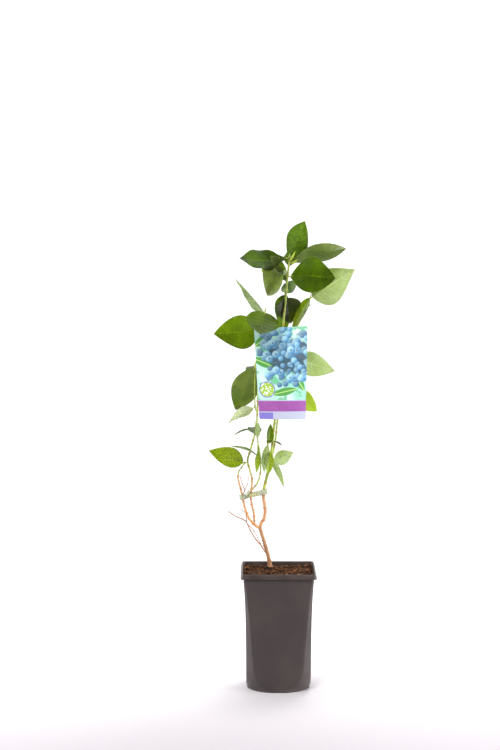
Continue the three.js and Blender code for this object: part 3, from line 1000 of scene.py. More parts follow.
class Piece:
    """One visible object. Shapes are joined in it in millimetres, and it is finished in metres."""

    def __init__(self, name: str) -> None:
        """Starts an empty piece of that name.

        Args:
            name: its name.
        """
        self.name = name
        self.shape = new_shape()
        self.finishes: list[Finish] = []

    def add(self, shape: BMesh, *finishes: Finish) -> None:
        """Joins a shape on, dressed, and uses it up.

        Args:
            shape: what is added.
            finishes: finish of its faces with material number 0, and of those with 1 where it differs.
        """
        for finish in finishes:
            if finish not in self.finishes:
                self.finishes.append(finish)
        numbers = [self.finishes.index(finish) for finish in finishes]
        for face in shape.faces:
            face.material_index = numbers[min(face.material_index, len(numbers) - 1)]
            face.smooth = True
        mesh = baked(shape, "part")
        self.shape.from_mesh(mesh)
        bpy.data.meshes.remove(mesh)

    def finish(self, *nodes: str) -> bpy.types.Object:
        """Makes the object, with all its finishes, and lets it ride on the plant's body.

        Args:
            nodes: solids that it stands for.

        Returns:
            The object.
        """
        bmesh.ops.scale(self.shape, vec=(MM, MM, MM), verts=self.shape.verts)
        mesh = baked(self.shape, self.name)
        for finish in self.finishes:
            mesh.materials.append(finish.material)
        made = placed(self.name, mesh)
        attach(made, BODY)
        if nodes:
            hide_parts(*nodes)
        LOG.info("%s: %d faces", self.name, len(mesh.polygons))
        return made


# ---- pot and peat


@dataclass(frozen=True)
class SquaredPot:
    """Deep pot that is square at its rim and round at its foot."""

    height: float = 217.0
    lip_bottom: float = 208.5
    lip_half: float = 68.6
    bottom_half: float = 58.4
    taper: float = 0.9
    flare: float = 4.4  # that the top stands out further
    flare_power: float = 4.0
    foot_round: float = 60.0  # radius of the circle that cuts off the square's corners, at the foot
    swell_round: float = 11.5  # that it grows by in the share below
    swell_share: float = 0.15
    spread_round: float = 10.5
    flare_round: float = 6.0
    flat_share: float = 0.7  # of the columns, that lie on the flat sides
    crease_soft: float = 1.5
    foot_half: float = 57.0
    foot_height: float = 6.5
    foot_swell: Pair = (0.4, 1.2)  # out, and down from the foot's top
    foot_inset: float = 1.0
    wall: float = 1.6
    floor: float = 2.6
    lip_draft: float = 2.9
    groove: float = 0.4  # under the lip
    groove_top: float = 1.8  # that it starts and ends under the lip
    groove_foot: float = 2.4
    steps: int = 192
    ring_gap: float = 8.0
    edge: float = 0.5  # radius of its rounded edges
    edge_from: float = 0.5  # radians at which an edge is rounded
    shade_from: float = 50.0  # degrees at which its shading breaks
    drain_radius: float = 4.0
    drain_circle: float = 36.0
    drains: int = 6
    drain_sides: int = 24

    @property
    def inner_half(self) -> float:
        """Half of the width inside the rim."""
        return self.lip_half - self.lip_draft - self.wall

    def share_up(self, height: float) -> float:
        """Share of the body's height, from the foot's top to the rim's lower edge."""
        return (height - self.foot_height) / (self.lip_bottom - self.foot_height)

    def body_half(self, height: float) -> float:
        """Half of the body's width at a height."""
        share = self.share_up(height)
        return self.bottom_half + self.taper * share + self.flare * share**self.flare_power

    def round_share(self, height: float) -> float:
        """Roundness of the outline.

        Args:
            height: where it is measured.

        Returns:
            Radius of the circle that cuts the corners off, as a share of the body's half width.
        """
        share = clamp(self.share_up(height))
        low = 1 - (1 - min(share / self.swell_share, 1.0)) ** 2
        radius = self.foot_round + self.swell_round * low + self.spread_round * share
        radius += self.flare_round * share**self.flare_power
        return radius / self.body_half(clamp(height, self.foot_height, self.lip_bottom))

    def squared(self, place: Vector, share: float = 1.0) -> Vector:
        """A point of a round lathe shape, carried to a square whose corners a circle cuts off.

        Args:
            place: the point, whose distance from the axis is a half width.
            share: 1 for the pot's own outline, and down to 0 for a round one.

        Returns:
            The new place.
        """
        half = math.hypot(place.x, place.y)
        if half < 1e-6:
            return place
        turn = math.atan2(place.y, place.x)
        corner = math.pi / 4
        side = round(turn / (2 * corner)) * 2 * corner
        part = abs(turn - side) / corner
        crease = math.acos(1 / self.round_share(place.z))
        if part < self.flat_share:
            angle = crease * part / self.flat_share
        else:
            angle = between(crease, corner, (part - self.flat_share) / (1 - self.flat_share))
        flat, arc = half / math.cos(angle), half * self.round_share(place.z)
        out = min(flat, arc) - max(self.crease_soft - abs(flat - arc), 0) ** 2 / (4 * self.crease_soft)
        return place.lerp(around(side + math.copysign(angle, turn - side), out, place.z), share)

    @staticmethod
    def lathe(profile: Sequence[Pair], steps: int) -> BMesh:
        """A closed shape turned from a profile that starts and ends on the axis.

        Args:
            profile: points of radius and height.
            steps: number of steps of the full turn.

        Returns:
            The shape.
        """
        shape = new_shape()
        verts = [shape.verts.new((radius, 0, height)) for radius, height in profile]
        edges = [shape.edges.new(pair) for pair in zip(verts, verts[1:])]
        bmesh.ops.spin(
            shape, geom=verts + edges, cent=(0, 0, 0), axis=(0, 0, 1), dvec=(0, 0, 0),
            angle=FULL_TURN, steps=steps, use_merge=True, use_duplicate=False,
        )
        bmesh.ops.remove_doubles(shape, verts=shape.verts, dist=1e-4)
        bmesh.ops.recalc_face_normals(shape, faces=shape.faces)
        return shape

    def body_profile(self) -> list[Pair]:
        """Half widths and heights of the body's rings, without its ends.

        Returns:
            The pairs, from the foot up.
        """
        count = max(2, round((self.lip_bottom - self.foot_height) / self.ring_gap))
        heights = [between(self.foot_height, self.lip_bottom, i / count) for i in range(1, count)]
        return [(self.body_half(height), height) for height in heights]

    def shell(self) -> BMesh:
        """The pot's solid: foot, body, ledge and rim, with its edges rounded.

        Returns:
            The shape.
        """
        outer = self.body_profile()
        half, lip = self.body_half(self.lip_bottom), self.lip_bottom
        profile = [
            (0, 0),
            (self.foot_half, 0),
            (self.foot_half + self.foot_swell[0], self.foot_height - self.foot_swell[1]),
            (self.body_half(self.foot_height), self.foot_height),
            *outer,
            (half, lip - self.groove_foot),
            (half - self.groove, lip - self.groove_top),
            (half - self.groove, lip),
            (self.lip_half, lip),
            (self.lip_half - self.lip_draft, self.height),
            (self.inner_half, self.height),
            (self.inner_half, lip + self.wall),
            (half - self.wall, lip + self.wall),
            *[(width - self.wall, height) for width, height in reversed(outer)],
            (self.foot_half - self.wall, self.foot_height),
            (self.foot_half - self.wall - self.foot_inset, self.floor),
            (0, self.floor),
        ]
        shape = self.lathe(profile, self.steps)
        for vert in shape.verts:
            vert.co = self.squared(vert.co)
        sharp = [edge for edge in shape.edges if edge.is_manifold and edge.calc_face_angle() > self.edge_from]
        bmesh.ops.bevel(
            shape, geom=sharp, affect="EDGES", offset=self.edge, segments=2, profile=0.5, material=-1,
            clamp_overlap=True,
        )
        return shape

    def drilled(self, shape: BMesh) -> BMesh:
        """The shape with the drain holes cut through its floor.

        Args:
            shape: the pot's solid, which is used up.

        Returns:
            The pot.
        """
        drills = new_shape()
        for i in range(self.drains):
            bmesh.ops.create_cone(
                drills, cap_ends=True, cap_tris=False, segments=self.drain_sides, radius1=self.drain_radius,
                radius2=self.drain_radius, depth=4 * self.floor,
                matrix=Matrix.Translation(around(i * FULL_TURN / self.drains, self.drain_circle)),
            )
        blanks = []
        for name, part in (("pot_blank", shape), ("drills", drills)):
            blanks.append(placed(name, baked(part, name)))
        cut = blanks[0].modifiers.new("drains", "BOOLEAN")
        cut.operation, cut.solver, cut.object = "DIFFERENCE", "EXACT", blanks[1]
        pot = new_shape()
        pot.from_object(blanks[0], bpy.context.evaluated_depsgraph_get())
        for blank in blanks:
            mesh = blank.data
            bpy.data.objects.remove(blank)
            bpy.data.meshes.remove(mesh)
        return pot

    def build(self) -> None:
        """Makes the pot's piece."""
        piece = Piece("pot_shell")
        piece.add(self.drilled(self.shell()), POT_PLASTIC)
        piece.finish("pot").data.set_sharp_from_angle(angle=math.radians(self.shade_from))


@dataclass(frozen=True)
class PeatBed:
    """The peat that fills the pot: a lumpy bed with crumbs, chips and fibres strewn over it."""

    pot: SquaredPot
    top: float = 211.0
    clearance: float = 0.3
    lump: float = 1.3
    edge_dip: float = 1.2
    heap: float = 1.4  # round the trunk's foot
    heap_spread: float = math.sqrt(90)
    steps: int = 144
    rings: int = 44
    crumbs: int = 1500
    chips: int = 150
    fibres: int = 420
    brown: float = 0.35  # share of the scraps
    crumb_size: Pair = (0.6, 3.0)
    crumb_flatness: Pair = (0.6, 1.0)
    crumb_stretch: Pair = (0.8, 1.5)
    crumb_rough: float = 0.9
    chip_size: tuple[Pair, Pair, Pair] = ((2.0, 5.5), (1.0, 2.2), (0.4, 0.8))
    chip_lean: float = 0.3
    chip_edge: float = 0.18
    fibre_bow: float = 0.9
    fibre_length: Pair = (3.0, 11.0)
    fibre_lift: Pair = (0.2, 1.2)
    fibre_radius: Pair = (0.25, 0.65)
    trunk_foot: Pair = (-14.8, 37.0)

    @property
    def half(self) -> float:
        """Half of the bed's width at its top."""
        return self.pot.inner_half - self.clearance

    def level(self, x: float, y: float) -> float:
        """Height of the bed's surface.

        Args:
            x: the place along X.
            y: the place along Y.

        Returns:
            The height.
        """
        fine = noise.fractal(Vector((x, y, 3.0)) * 0.16, 0.6, 2.2, 4)
        broad = noise.noise(Vector((x, y, 9.0)) * 0.035)
        dip = self.edge_dip * smooth_step(max(abs(x), abs(y)), self.half - 9, self.half)
        off_trunk = math.hypot(x - self.trunk_foot[0], y - self.trunk_foot[1])
        heap = self.heap * bell(off_trunk / self.heap_spread)
        return self.top - 0.8 + self.lump * (fine + 0.7 * broad) - dip + heap

    def bed(self) -> BMesh:
        """The bed's solid, with a lumpy top.

        Returns:
            The shape.
        """
        pot, gap = self.pot, self.clearance + self.pot.wall
        ledge = pot.lip_bottom + gap
        profile = [
            (0, pot.floor + self.clearance),
            (pot.foot_half - gap - pot.foot_inset, pot.floor + self.clearance),
            (pot.foot_half - gap, pot.foot_height),
            *[(half - gap, height) for half, height in pot.body_profile()],
            (pot.body_half(pot.lip_bottom) - gap, ledge),
            (self.half, ledge),
            *[(self.half * i / self.rings, self.top) for i in range(self.rings, -1, -1)],
        ]
        shape = pot.lathe(profile, self.steps)
        for vert in shape.verts:
            on_top = vert.co.z > ledge + 0.1
            share = math.hypot(vert.co.x, vert.co.y) / self.half if on_top else 1.0
            vert.co = pot.squared(vert.co, share)
            if on_top:
                vert.co.z = self.level(vert.co.x, vert.co.y)
        return shape

    def spot(self, dice: random.Random, margin: float) -> Vector:
        """A random place on the bed's surface.

        Args:
            dice: source of chance.
            margin: how far in from its edge it stays.

        Returns:
            The place.
        """
        angle = dice.uniform(0, FULL_TURN)
        out = (self.half - margin) * math.sqrt(dice.random())
        rim = self.pot.squared(around(angle, out, self.top))
        return Vector((rim.x, rim.y, self.level(rim.x, rim.y)))

    def crumb(self, dice: random.Random) -> BMesh:
        """A round crumb, small more often than large.

        Args:
            dice: source of chance.

        Returns:
            The shape.
        """
        size = between(*self.crumb_size, dice.random() ** 3)
        ahead = Vector((dice.gauss(0, 1), dice.gauss(0, 1), dice.gauss(0, 0.5)))
        place = self.spot(dice, size + 0.8) + Vector((0, 0, size * 0.25))
        flat, stretch = dice.uniform(*self.crumb_flatness), dice.uniform(*self.crumb_stretch)
        return bead(place, ahead, (size, size * flat, size * stretch), rough=self.crumb_rough)

    def chip(self, dice: random.Random) -> BMesh:
        """A flat chip of bark that lies at a slant.

        Args:
            dice: source of chance.

        Returns:
            The shape.
        """
        shape = new_shape()
        size = [dice.uniform(*limits) for limits in self.chip_size]
        turn = Matrix.Rotation(dice.uniform(0, FULL_TURN), 4, "Z")
        lean = Matrix.Rotation(dice.gauss(0, self.chip_lean), 4, "X")
        place = Matrix.Translation(self.spot(dice, 4.5) + Vector((0, 0, 0.4)))
        bmesh.ops.create_cube(shape, size=1, matrix=place @ turn @ lean @ Matrix.Diagonal((*size, 1)))
        bmesh.ops.bevel(
            shape, geom=shape.edges[:], affect="EDGES", offset=self.chip_edge, segments=1, profile=0.5,
            material=-1,
        )
        return shape

    def fibre(self, dice: random.Random) -> BMesh:
        """A thin bent fibre that lies on the bed.

        Args:
            dice: source of chance.

        Returns:
            The shape.
        """
        start = self.spot(dice, 12)
        heading, bow = dice.uniform(0, FULL_TURN), dice.uniform(-self.fibre_bow, self.fibre_bow)
        length = dice.uniform(*self.fibre_length)
        points = [start + Vector((0, 0, 0.3))]
        for step in (1, 2):
            x, y, _ = points[-1] + around(heading + bow * step, length / 2)
            points.append(Vector((x, y, self.level(x, y) + dice.uniform(*self.fibre_lift))))
        radius = dice.uniform(*self.fibre_radius)
        return bent_tube(Route(points), 4, 3, lambda along, _: radius * (1.1 - along))

    def build(self) -> None:
        """Makes the bed and what is strewn on it, with more straw among the longer scraps."""
        dice = random.Random(SEED)
        bed = Piece("peat_bed")
        bed.add(self.bed(), PEAT)
        bed.finish("soil")
        for name, make, count, straw in (
            ("peat_crumbs", self.crumb, self.crumbs, 0.03),
            ("peat_chips", self.chip, self.chips, 0.25),
            ("peat_fibres", self.fibre, self.fibres, 0.5),
        ):
            piece = Piece(name)
            for _ in range(count):
                scrap = make(dice)
                chance = dice.random()
                brown = PEAT_CRUMB if chance < self.brown + straw else PEAT
                piece.add(scrap, PEAT_STRAW if chance < straw else brown)
            piece.finish()


# ---- limbs


@dataclass(frozen=True)
class Limb:
    """A tapering limb with nodes, buds and bark relief."""

    name: str
    points: tuple[Point, ...]
    radii: Pair
    brown_to: Pair  # heights between which brown bark gives way to green skin
    skin: Finish = SHOOT
    sides: int = 14
    ring_gap: float = 1.6
    flare: Pair = (0.0, 1.0)  # size and reach of the swell at its foot
    internode: float = 24.0
    swell: float = 0.45
    fissure: float = 0.09
    node_reach: float = 1.7  # of the swell along the limb
    relief_along: float = 0.12  # how fast its bark relief changes along it, and round it
    relief_round: float = 2.1
    bud_steps: int = 200
    bud_turn: float = 2.4  # radians from one bud to the next
    bud_size: Point = (0.55, 0.55, 1.35)
    bud_gap: float = 0.35

    @cached_property
    def route(self) -> Route:
        """The limb's axis."""
        return Route(self.points)

    @property
    def nodes(self) -> list[float]:
        """Shares of the length at which leaves once stood."""
        share = self.internode / self.route.length
        return [(i + 0.6) * share for i in range(int(1 / share))]

    def build_shape(self) -> BMesh:
        """The limb's solid, painted with its age and the flush at its nodes.

        Returns:
            The shape.
        """
        route, nodes = self.route, self.nodes
        length = route.length

        def radius(along: float, angle: float) -> float:
            """Radius with taper, flare, swollen nodes and shallow fissures.

            Args:
                along: share of the length.
                angle: angle round the axis.

            Returns:
                The radius.
            """
            base = between(*self.radii, along)
            base += self.flare[0] * math.exp(-along * length / self.flare[1])
            spot = around(angle, self.relief_round, along * length * self.relief_along)
            rough = noise.noise(spot * 1.6) + 0.5 * noise.noise(spot * 4.1)
            knob = max((bell((along - node) * length / self.node_reach) for node in nodes), default=0.0)
            return base * (1 + self.fissure * rough) + self.swell * knob

        def age(vert: BMVert) -> float:
            """1 on brown bark and 0 on green skin."""
            return 1 - smooth_step(vert.co.z + 6 * noise.noise(vert.co * 0.1), *self.brown_to)

        shape = bent_tube(route, max(4, round(length / self.ring_gap)), self.sides, radius)
        heights = [route.at(node).z for node in nodes]
        paint(shape, Layer.AGE, age)
        paint(shape, Layer.TONE, lambda vert: min((abs(vert.co.z - z) / 4 for z in heights), default=1.0))
        return shape

    def buds(self) -> list[BMesh]:
        """A small pointed bud over the scar at each node, on alternate sides.

        Returns:
            The shapes.
        """
        frames = self.route.frames(self.bud_steps)
        made = []
        for number, share in enumerate(self.nodes):
            place = frames[round(share * self.bud_steps)]
            out = place.to_3x3() @ around(number * self.bud_turn)
            ahead = (out * 0.8 + place.to_3x3().col[2]).normalized()
            root = place.translation + out * (between(*self.radii, share) + self.bud_gap)
            bud = bead(root + ahead * 0.6, ahead, self.bud_size, detail=2)
            paint(bud, Layer.TONE, 0.15)
            paint(bud, Layer.AGE, 0.35)
            made.append(bud)
        return made

    def build(self) -> None:
        """Makes the limb's piece."""
        piece = Piece(self.name + "_wood")
        for shape in (self.build_shape(), *self.buds()):
            piece.add(shape, self.skin)
        piece.finish(self.name)


@dataclass(frozen=True)
class Trunk(Limb):
    """The limb that stands in the peat and is cut flat just under its surface."""

    cut: float = 209.8

    def build_shape(self) -> BMesh:
        """The trunk's solid.

        Returns:
            The shape.
        """
        shape = super().build_shape()
        bmesh.ops.bisect_plane(
            shape, geom=shape.verts[:] + shape.edges[:] + shape.faces[:], dist=1e-4,
            plane_co=(0, 0, self.cut), plane_no=(0, 0, 1), clear_inner=True,
        )
        bmesh.ops.holes_fill(shape, edges=shape.edges, sides=0)
        return shape


TRUNK = Trunk(
    "trunk",
    (
        (-14.2, 38, 207), (-15.5, 35.5, 219), (-19.4, 28, 239), (-26, 20, 263), (-32.3, 12, 284.5),
        (-33.2, 10, 290.5),
    ),
    radii=(3.7, 3.1), brown_to=(900, 901), skin=OLD_BARK, sides=20, ring_gap=1.0, flare=(3.2, 5.0),
    internode=31, swell=0.5, fissure=0.15,
)
LEADER = Limb(
    "bough_leader",
    (
        (-33.2, 10, 290.5), (-30.5, 9, 299), (-26.4, 8, 305), (-23.8, 5, 320), (-25, 2, 332),
        (-27, 0, 347), (-26, -1, 362), (-22, -1, 380), (-16.7, 0, 404), (-12.2, 1, 431), (-9, 2, 468),
        (-5.8, 2, 491), (0, 1, 560), (5.2, 0, 623), (9.6, 0, 675), (11.4, 0, 697),
    ),
    radii=(2.9, 1.8), brown_to=(350, 370), sides=16, fissure=0.1,
)
LEFT = Limb(
    "bough_left",
    (
        (-33.2, 10, 288.5), (-40.5, 9, 293), (-51.8, 6, 304.7), (-56.7, 4, 315), (-61.5, 2, 330),
        (-64.8, 0, 347), (-69.3, -3, 366), (-72.9, -5, 381), (-72.1, -5, 393), (-67, -5, 401),
    ),
    radii=(2.6, 1.2), brown_to=(375, 398), skin=BARK, fissure=0.12,
)
MIDDLE = Limb(
    "bough_middle",
    (
        (-43, 8.5, 295.5), (-43.6, 7.5, 304), (-44.5, 5, 317), (-48.1, 2, 332.5), (-50, 0, 352.5),
        (-47.6, 2, 378), (-51.4, 4, 394), (-55.7, 5, 412), (-51.4, 5, 430), (-44, 5, 456),
        (-39.5, 5, 477), (-37.5, 5, 518), (-35.9, 5, 559), (-34.1, 4, 595), (-32, 4, 628),
    ),
    radii=(1.8, 1.5), brown_to=(350, 420),
)
RIGHT = Limb(
    "bough_right",
    ((-16.7, 0, 404), (-10.5, 4, 425), (-5.5, 6.5, 450), (-1.5, 7, 487), (4, 8, 530)),
    radii=(1.8, 1.5), brown_to=(400, 420),
)
CENTRE = Limb(
    "bough_centre",
    ((-49.4, 0.3, 358.5), (-44, -5, 366), (-38, -7, 374), (-33, -8, 390), (-32, -8, 410)),
    radii=(1.4, 1.3), brown_to=(350, 372),
)


@dataclass(frozen=True)
class DryTwigs:
    """A bundle of dead twigs, with finer twiglets on them."""

    name: str
    routes: tuple[tuple[Point, ...], ...]
    radii: tuple[float, ...]
    taper: float = 0.6
    twiglet: Pair = (5.0, 11.0)  # shortest and longest
    twiglet_gap: float = 17.0

    def build(self) -> None:
        """Makes the bundle's piece."""
        dice = random.Random(SEED + len(self.routes))
        piece = Piece(self.name + "_wood")
        for points, radius in zip(self.routes, self.radii):
            route = Route(points)
            piece.add(self.twig(route, radius), DEAD_WOOD)
            for i in range(1, int(route.length / self.twiglet_gap)):
                share = i * self.twiglet_gap / route.length
                piece.add(self.side_twig(route, share, radius, dice), DEAD_WOOD)
        piece.finish(self.name)

    def twig(self, route: Route, radius: float) -> BMesh:
        """One twig, thinner towards its tip, with knobs where buds were.

        Args:
            route: its axis.
            radius: radius of its foot.

        Returns:
            The shape.
        """

        def thickness(along: float, _: float) -> float:
            """Its radius."""
            knob = bell(3 * math.sin(along * route.length * 0.26))
            return radius * between(1, self.taper, along) * (1 + 0.3 * knob)

        twig = bent_tube(route, max(4, round(route.length / 2)), 8, thickness)
        tip = route.at(1)
        paint(twig, Layer.TONE, lambda vert: clamp(1 - (vert.co - tip).length / (0.6 * route.length)))
        return twig

    def side_twig(self, route: Route, along: float, radius: float, dice: random.Random) -> BMesh:
        """One short twiglet, inside the reach of the bundle.

        Args:
            route: the twig that it stands on.
            along: share of that twig's length.
            radius: radius of that twig's foot.
            dice: source of chance.

        Returns:
            The shape.
        """
        root = route.at(along)
        ahead = (route.at(along + 0.05) - root).normalized()
        aside = ahead.orthogonal().normalized()
        aside.rotate(Quaternion(ahead, dice.uniform(0, FULL_TURN)))
        length = dice.uniform(*self.twiglet) * (1 - 0.6 * along)
        middle = root + (ahead * 0.5 + aside * 0.6) * length * 0.5
        tip = root + (ahead * 0.9 + aside * 0.8 + Vector((0, 0, 0.2))) * length
        line = Route([root, middle, tip])
        twiglet = bent_tube(line, 6, 5, lambda share, _: radius * 0.42 * (1.1 - 0.8 * share))
        paint(twiglet, Layer.TONE, 0.7)
        return twiglet


LOW_TWIGS = DryTwigs(
    "dry_twigs_low",
    (
        (
            (-18.7, 29, 236), (-24, 22, 243), (-31.3, 20, 254.5), (-41.4, 18, 267), (-50.7, 16, 283),
            (-57.6, 15, 298), (-63.4, 15, 303), (-77.4, 14, 309.6), (-90.8, 12, 319),
        ),
        ((-57.6, 15, 298), (-59.4, 13, 314.7), (-65, 13, 320), (-70.6, 12, 324.6)),
        ((-27, 21, 248), (-35.3, 24, 263.6), (-45, 26, 281.7), (-53.4, 26, 290.6), (-58.7, 26, 298.3)),
    ),
    (1.3, 0.8, 0.8),
)
HIGH_TWIGS = DryTwigs(
    "dry_twigs_high",
    (
        ((-65.8, -0.7, 351), (-61, -6, 360), (-66, -8, 374), (-70, -9, 388)),
        ((-61, -6, 360), (-56, -7, 372), (-53.5, -8, 388)),
    ),
    (0.9, 0.6),
)


# ---- foliage


@dataclass(frozen=True)
class Leaf:
    """One leaf. Turn and climb, in degrees, give the line from its node to its tip."""

    height: float  # of its node on the shoot
    turn: float
    climb: float
    length: float
    width: float
    roll: float = 0.0  # about that line; 0 is face up
    arch: float = 0.0  # of its midrib
    twist: float = 0.0
    fold: float = 16.0  # that each half rises from the midrib
    peak: float = 0.41  # where along it is widest
    fullness: float = 0.88  # below 1 blunter, above 1 more pointed
    wave: float = 1.0  # how wavy its margin is
    upper: Coat = Coat.GREEN
    under: Coat = Coat.PALE

    def half(self, along: float) -> float:
        """Half of its width at a share of its length."""
        skewed = clamp(along, 1e-6) ** (math.log(0.5) / math.log(self.peak))
        return self.width / 2 * max(0.0, math.sin(math.pi * skewed)) ** self.fullness


class Midrib:
    """The arched and twisted line that one leaf is built on."""

    def __init__(self, leaf: Leaf, node: Vector, petiole: float) -> None:
        """Lays the line.

        Args:
            leaf: the leaf's sizes.
            node: where its petiole leaves the shoot's axis.
            petiole: the petiole's length.
        """
        yaw, pitch = math.radians(leaf.turn), math.radians(leaf.climb)
        self.leaf = leaf
        self.ahead = around(yaw, math.cos(pitch), math.sin(pitch))
        self.level = around(yaw + math.pi / 2)
        self.upright = self.ahead.cross(self.level)
        chord = leaf.length - petiole
        self.bend = math.radians(leaf.arch or 1)
        self.radius = chord / (2 * math.sin(self.bend / 2))
        self.middle = node + self.ahead * (petiole + chord / 2)

    def at(self, along: float) -> tuple[Vector, Vector, Vector]:
        """A point of the line at a share of the blade, and the ways aside and up from it.

        Args:
            along: the share.

        Returns:
            The point and the two unit vectors.
        """
        angle = self.bend * (along - 0.5)
        lift = self.radius * (math.cos(angle) - math.cos(self.bend / 2))
        turned = math.radians(self.leaf.roll + self.leaf.twist * (along - 0.5))
        side = self.level * math.cos(turned) + self.upright * math.sin(turned)
        face = self.upright * math.cos(turned) - self.level * math.sin(turned)
        return self.middle + self.ahead * (self.radius * math.sin(angle)) + face * lift, side, face


@dataclass(frozen=True)
class LeafRule:
    """How every leaf is shaped from its few sizes."""

    petiole: float = 5.0
    petiole_radius: float = 0.8
    rib_radius: float = 0.42
    rib_end: float = 0.86  # share of the blade that the midrib shows on
    tip_width: float = 0.5
    thickness: float = 0.36
    quilt: float = 0.09
    billow: float = 2.0  # size of its broad bulges
    pairs: float = 6.5
    sweep: float = 0.2  # of the side veins towards the tip
    groove: float = 0.25
    stiff_half: float = 12.0  # half width under which it bulges less
    small: float = 40.0
    cells: tuple[int, int] = (44, 22)
    small_cells: tuple[int, int] = (22, 10)
    margin_wave: float = 0.5
    ripples: float = 2.3

    def blade(self, leaf: Leaf, midrib: Midrib, dice: random.Random) -> BMesh:
        """The leaf's blade.

        Args:
            leaf: its sizes.
            midrib: the line that it is built on.
            dice: source of chance.

        Returns:
            The shape.
        """
        fold = math.radians(leaf.fold)
        phase = dice.uniform(0, FULL_TURN)
        wave = self.margin_wave * leaf.wave * dice.uniform(0.6, 1.3) * min(1.0, leaf.width / 40)

        def place(along: float, across: float, down: float) -> Vector:
            """A point of the blade.

            Args:
                along: share along it.
                across: -1 to 1 across it.
                down: 0 to 1 down through it.

            Returns:
                The place.
            """
            spine, side, face = midrib.at(along)
            half = max(leaf.half(along), self.tip_width / 2)
            beside = abs(across)
            soft_fold = math.sqrt(beside * beside + 0.012) - math.sqrt(0.012)
            ends = math.sin(math.pi * along)
            stiff = min(1.0, half / self.stiff_half)
            vein = (along - self.sweep * beside**1.2) * self.pairs
            quilt = -math.cos(FULL_TURN * (vein - 0.5)) * self.quilt * ends
            quilt *= math.sin(math.pi * clamp(beside * 0.95 + 0.03)) * stiff
            turn = FULL_TURN * self.ripples * along + phase + (2 if across > 0 else 0)
            ripple = wave * beside**3 * math.sin(turn) * ends
            bulge = noise.noise(Vector((along * 2.6, across * 1.1, phase))) * self.billow * beside * stiff
            groove = self.groove * bell(beside * half / 0.9)
            rise = soft_fold * half * math.sin(fold) + quilt + bulge + ripple - groove
            skin = self.thickness * (0.5 - down)
            return spine + side * (across * half * math.cos(fold)) + face * (rise + skin)

        cells = self.small_cells if leaf.length < self.small else self.cells
        return bent_slab(*cells, place)

    def stalk(self, leaf: Leaf, midrib: Midrib, node: Vector) -> BMesh:
        """The petiole, which runs on under the blade as its midrib.

        Args:
            leaf: the leaf's sizes.
            midrib: the line that the leaf is built on.
            node: where the petiole leaves the shoot's axis.

        Returns:
            The shape.
        """
        slim = min(1.0, leaf.width / 30)

        def thickness(along: float, _: float = 0.0) -> float:
            """Stout at its foot, thin along the blade."""
            return slim * (self.petiole_radius * math.exp(-along * 7) + self.rib_radius * (1 - 0.75 * along))

        points = [node, node + midrib.ahead * self.petiole * 0.6]
        for i in range(1, 9):
            along = i / 8 * self.rib_end
            spine, _, face = midrib.at(along)
            points.append(spine - face * thickness(along))
        shape = bent_tube(Route(points), 26, 7, thickness)
        paint(shape, Layer.TONE, lambda vert: clamp((vert.co - node).length / 12 + 0.25))
        return shape


@dataclass(frozen=True)
class Mass:
    """One mass of foliage: a green shoot with its leaves and buds."""

    name: str
    points: tuple[Point, ...]
    radii: Pair
    leaves: tuple[Leaf, ...]
    rule: LeafRule = LeafRule()
    swell: float = 0.35
    node_reach: float = 1.6
    bud_out: float = 1.9
    bud_up: float = 1.6
    bud_size: Point = (0.6, 0.6, 1.5)

    def build(self) -> None:
        """Makes the mass's blades and its shoot."""
        dice = random.Random(self.name)
        route = Route(self.points)
        blades, stems = Piece(self.name + "_blades"), Piece(self.name + "_shoot")
        stems.add(self.shoot(route), SHOOT)
        for leaf in self.leaves:
            node = route.at_height(leaf.height)
            midrib = Midrib(leaf, node, self.rule.petiole)
            blades.add(self.rule.blade(leaf, midrib, dice), leaf.upper.value, leaf.under.value)
            stems.add(self.rule.stalk(leaf, midrib, node), SHOOT)
            stems.add(self.bud(node, midrib.ahead), SHOOT)
        blades.finish(self.name)
        stems.finish()

    def shoot(self, route: Route) -> BMesh:
        """The shoot, a little swollen where its leaves stand, with a rounded tip.

        Args:
            route: its axis.

        Returns:
            The shape.
        """
        shares = [route.share_at(leaf.height) for leaf in self.leaves]

        def radius(along: float, angle: float) -> float:
            """Taper, nodes and the tip.

            Args:
                along: share of the length.
                angle: angle round the axis.

            Returns:
                The radius.
            """
            knob = max(bell((along - share) * route.length / self.node_reach) for share in shares)
            ridge = 1 + 0.04 * math.sin(3 * angle + 9 * along)
            tip = math.sqrt(clamp((1.004 - along) / 0.02))
            return (between(*self.radii, along) * ridge + self.swell * knob) * tip

        shape = bent_tube(route, max(12, round(route.length / 1.5)), 12, radius)
        paint(shape, Layer.TONE, 0.7)
        return shape

    def bud(self, node: Vector, ahead: Vector) -> BMesh:
        """The bud in the angle between a leaf and the shoot.

        Args:
            node: the leaf's node.
            ahead: the way that the leaf points.

        Returns:
            The shape.
        """
        out = Vector((ahead.x, ahead.y, 0.0)).normalized()
        root = node + out * self.bud_out + Vector((0, 0, self.bud_up))
        shape = bead(root, out * 0.5 + Vector((0, 0, 1)), self.bud_size, detail=2)
        paint(shape, Layer.TONE, 0.2)
        return shape


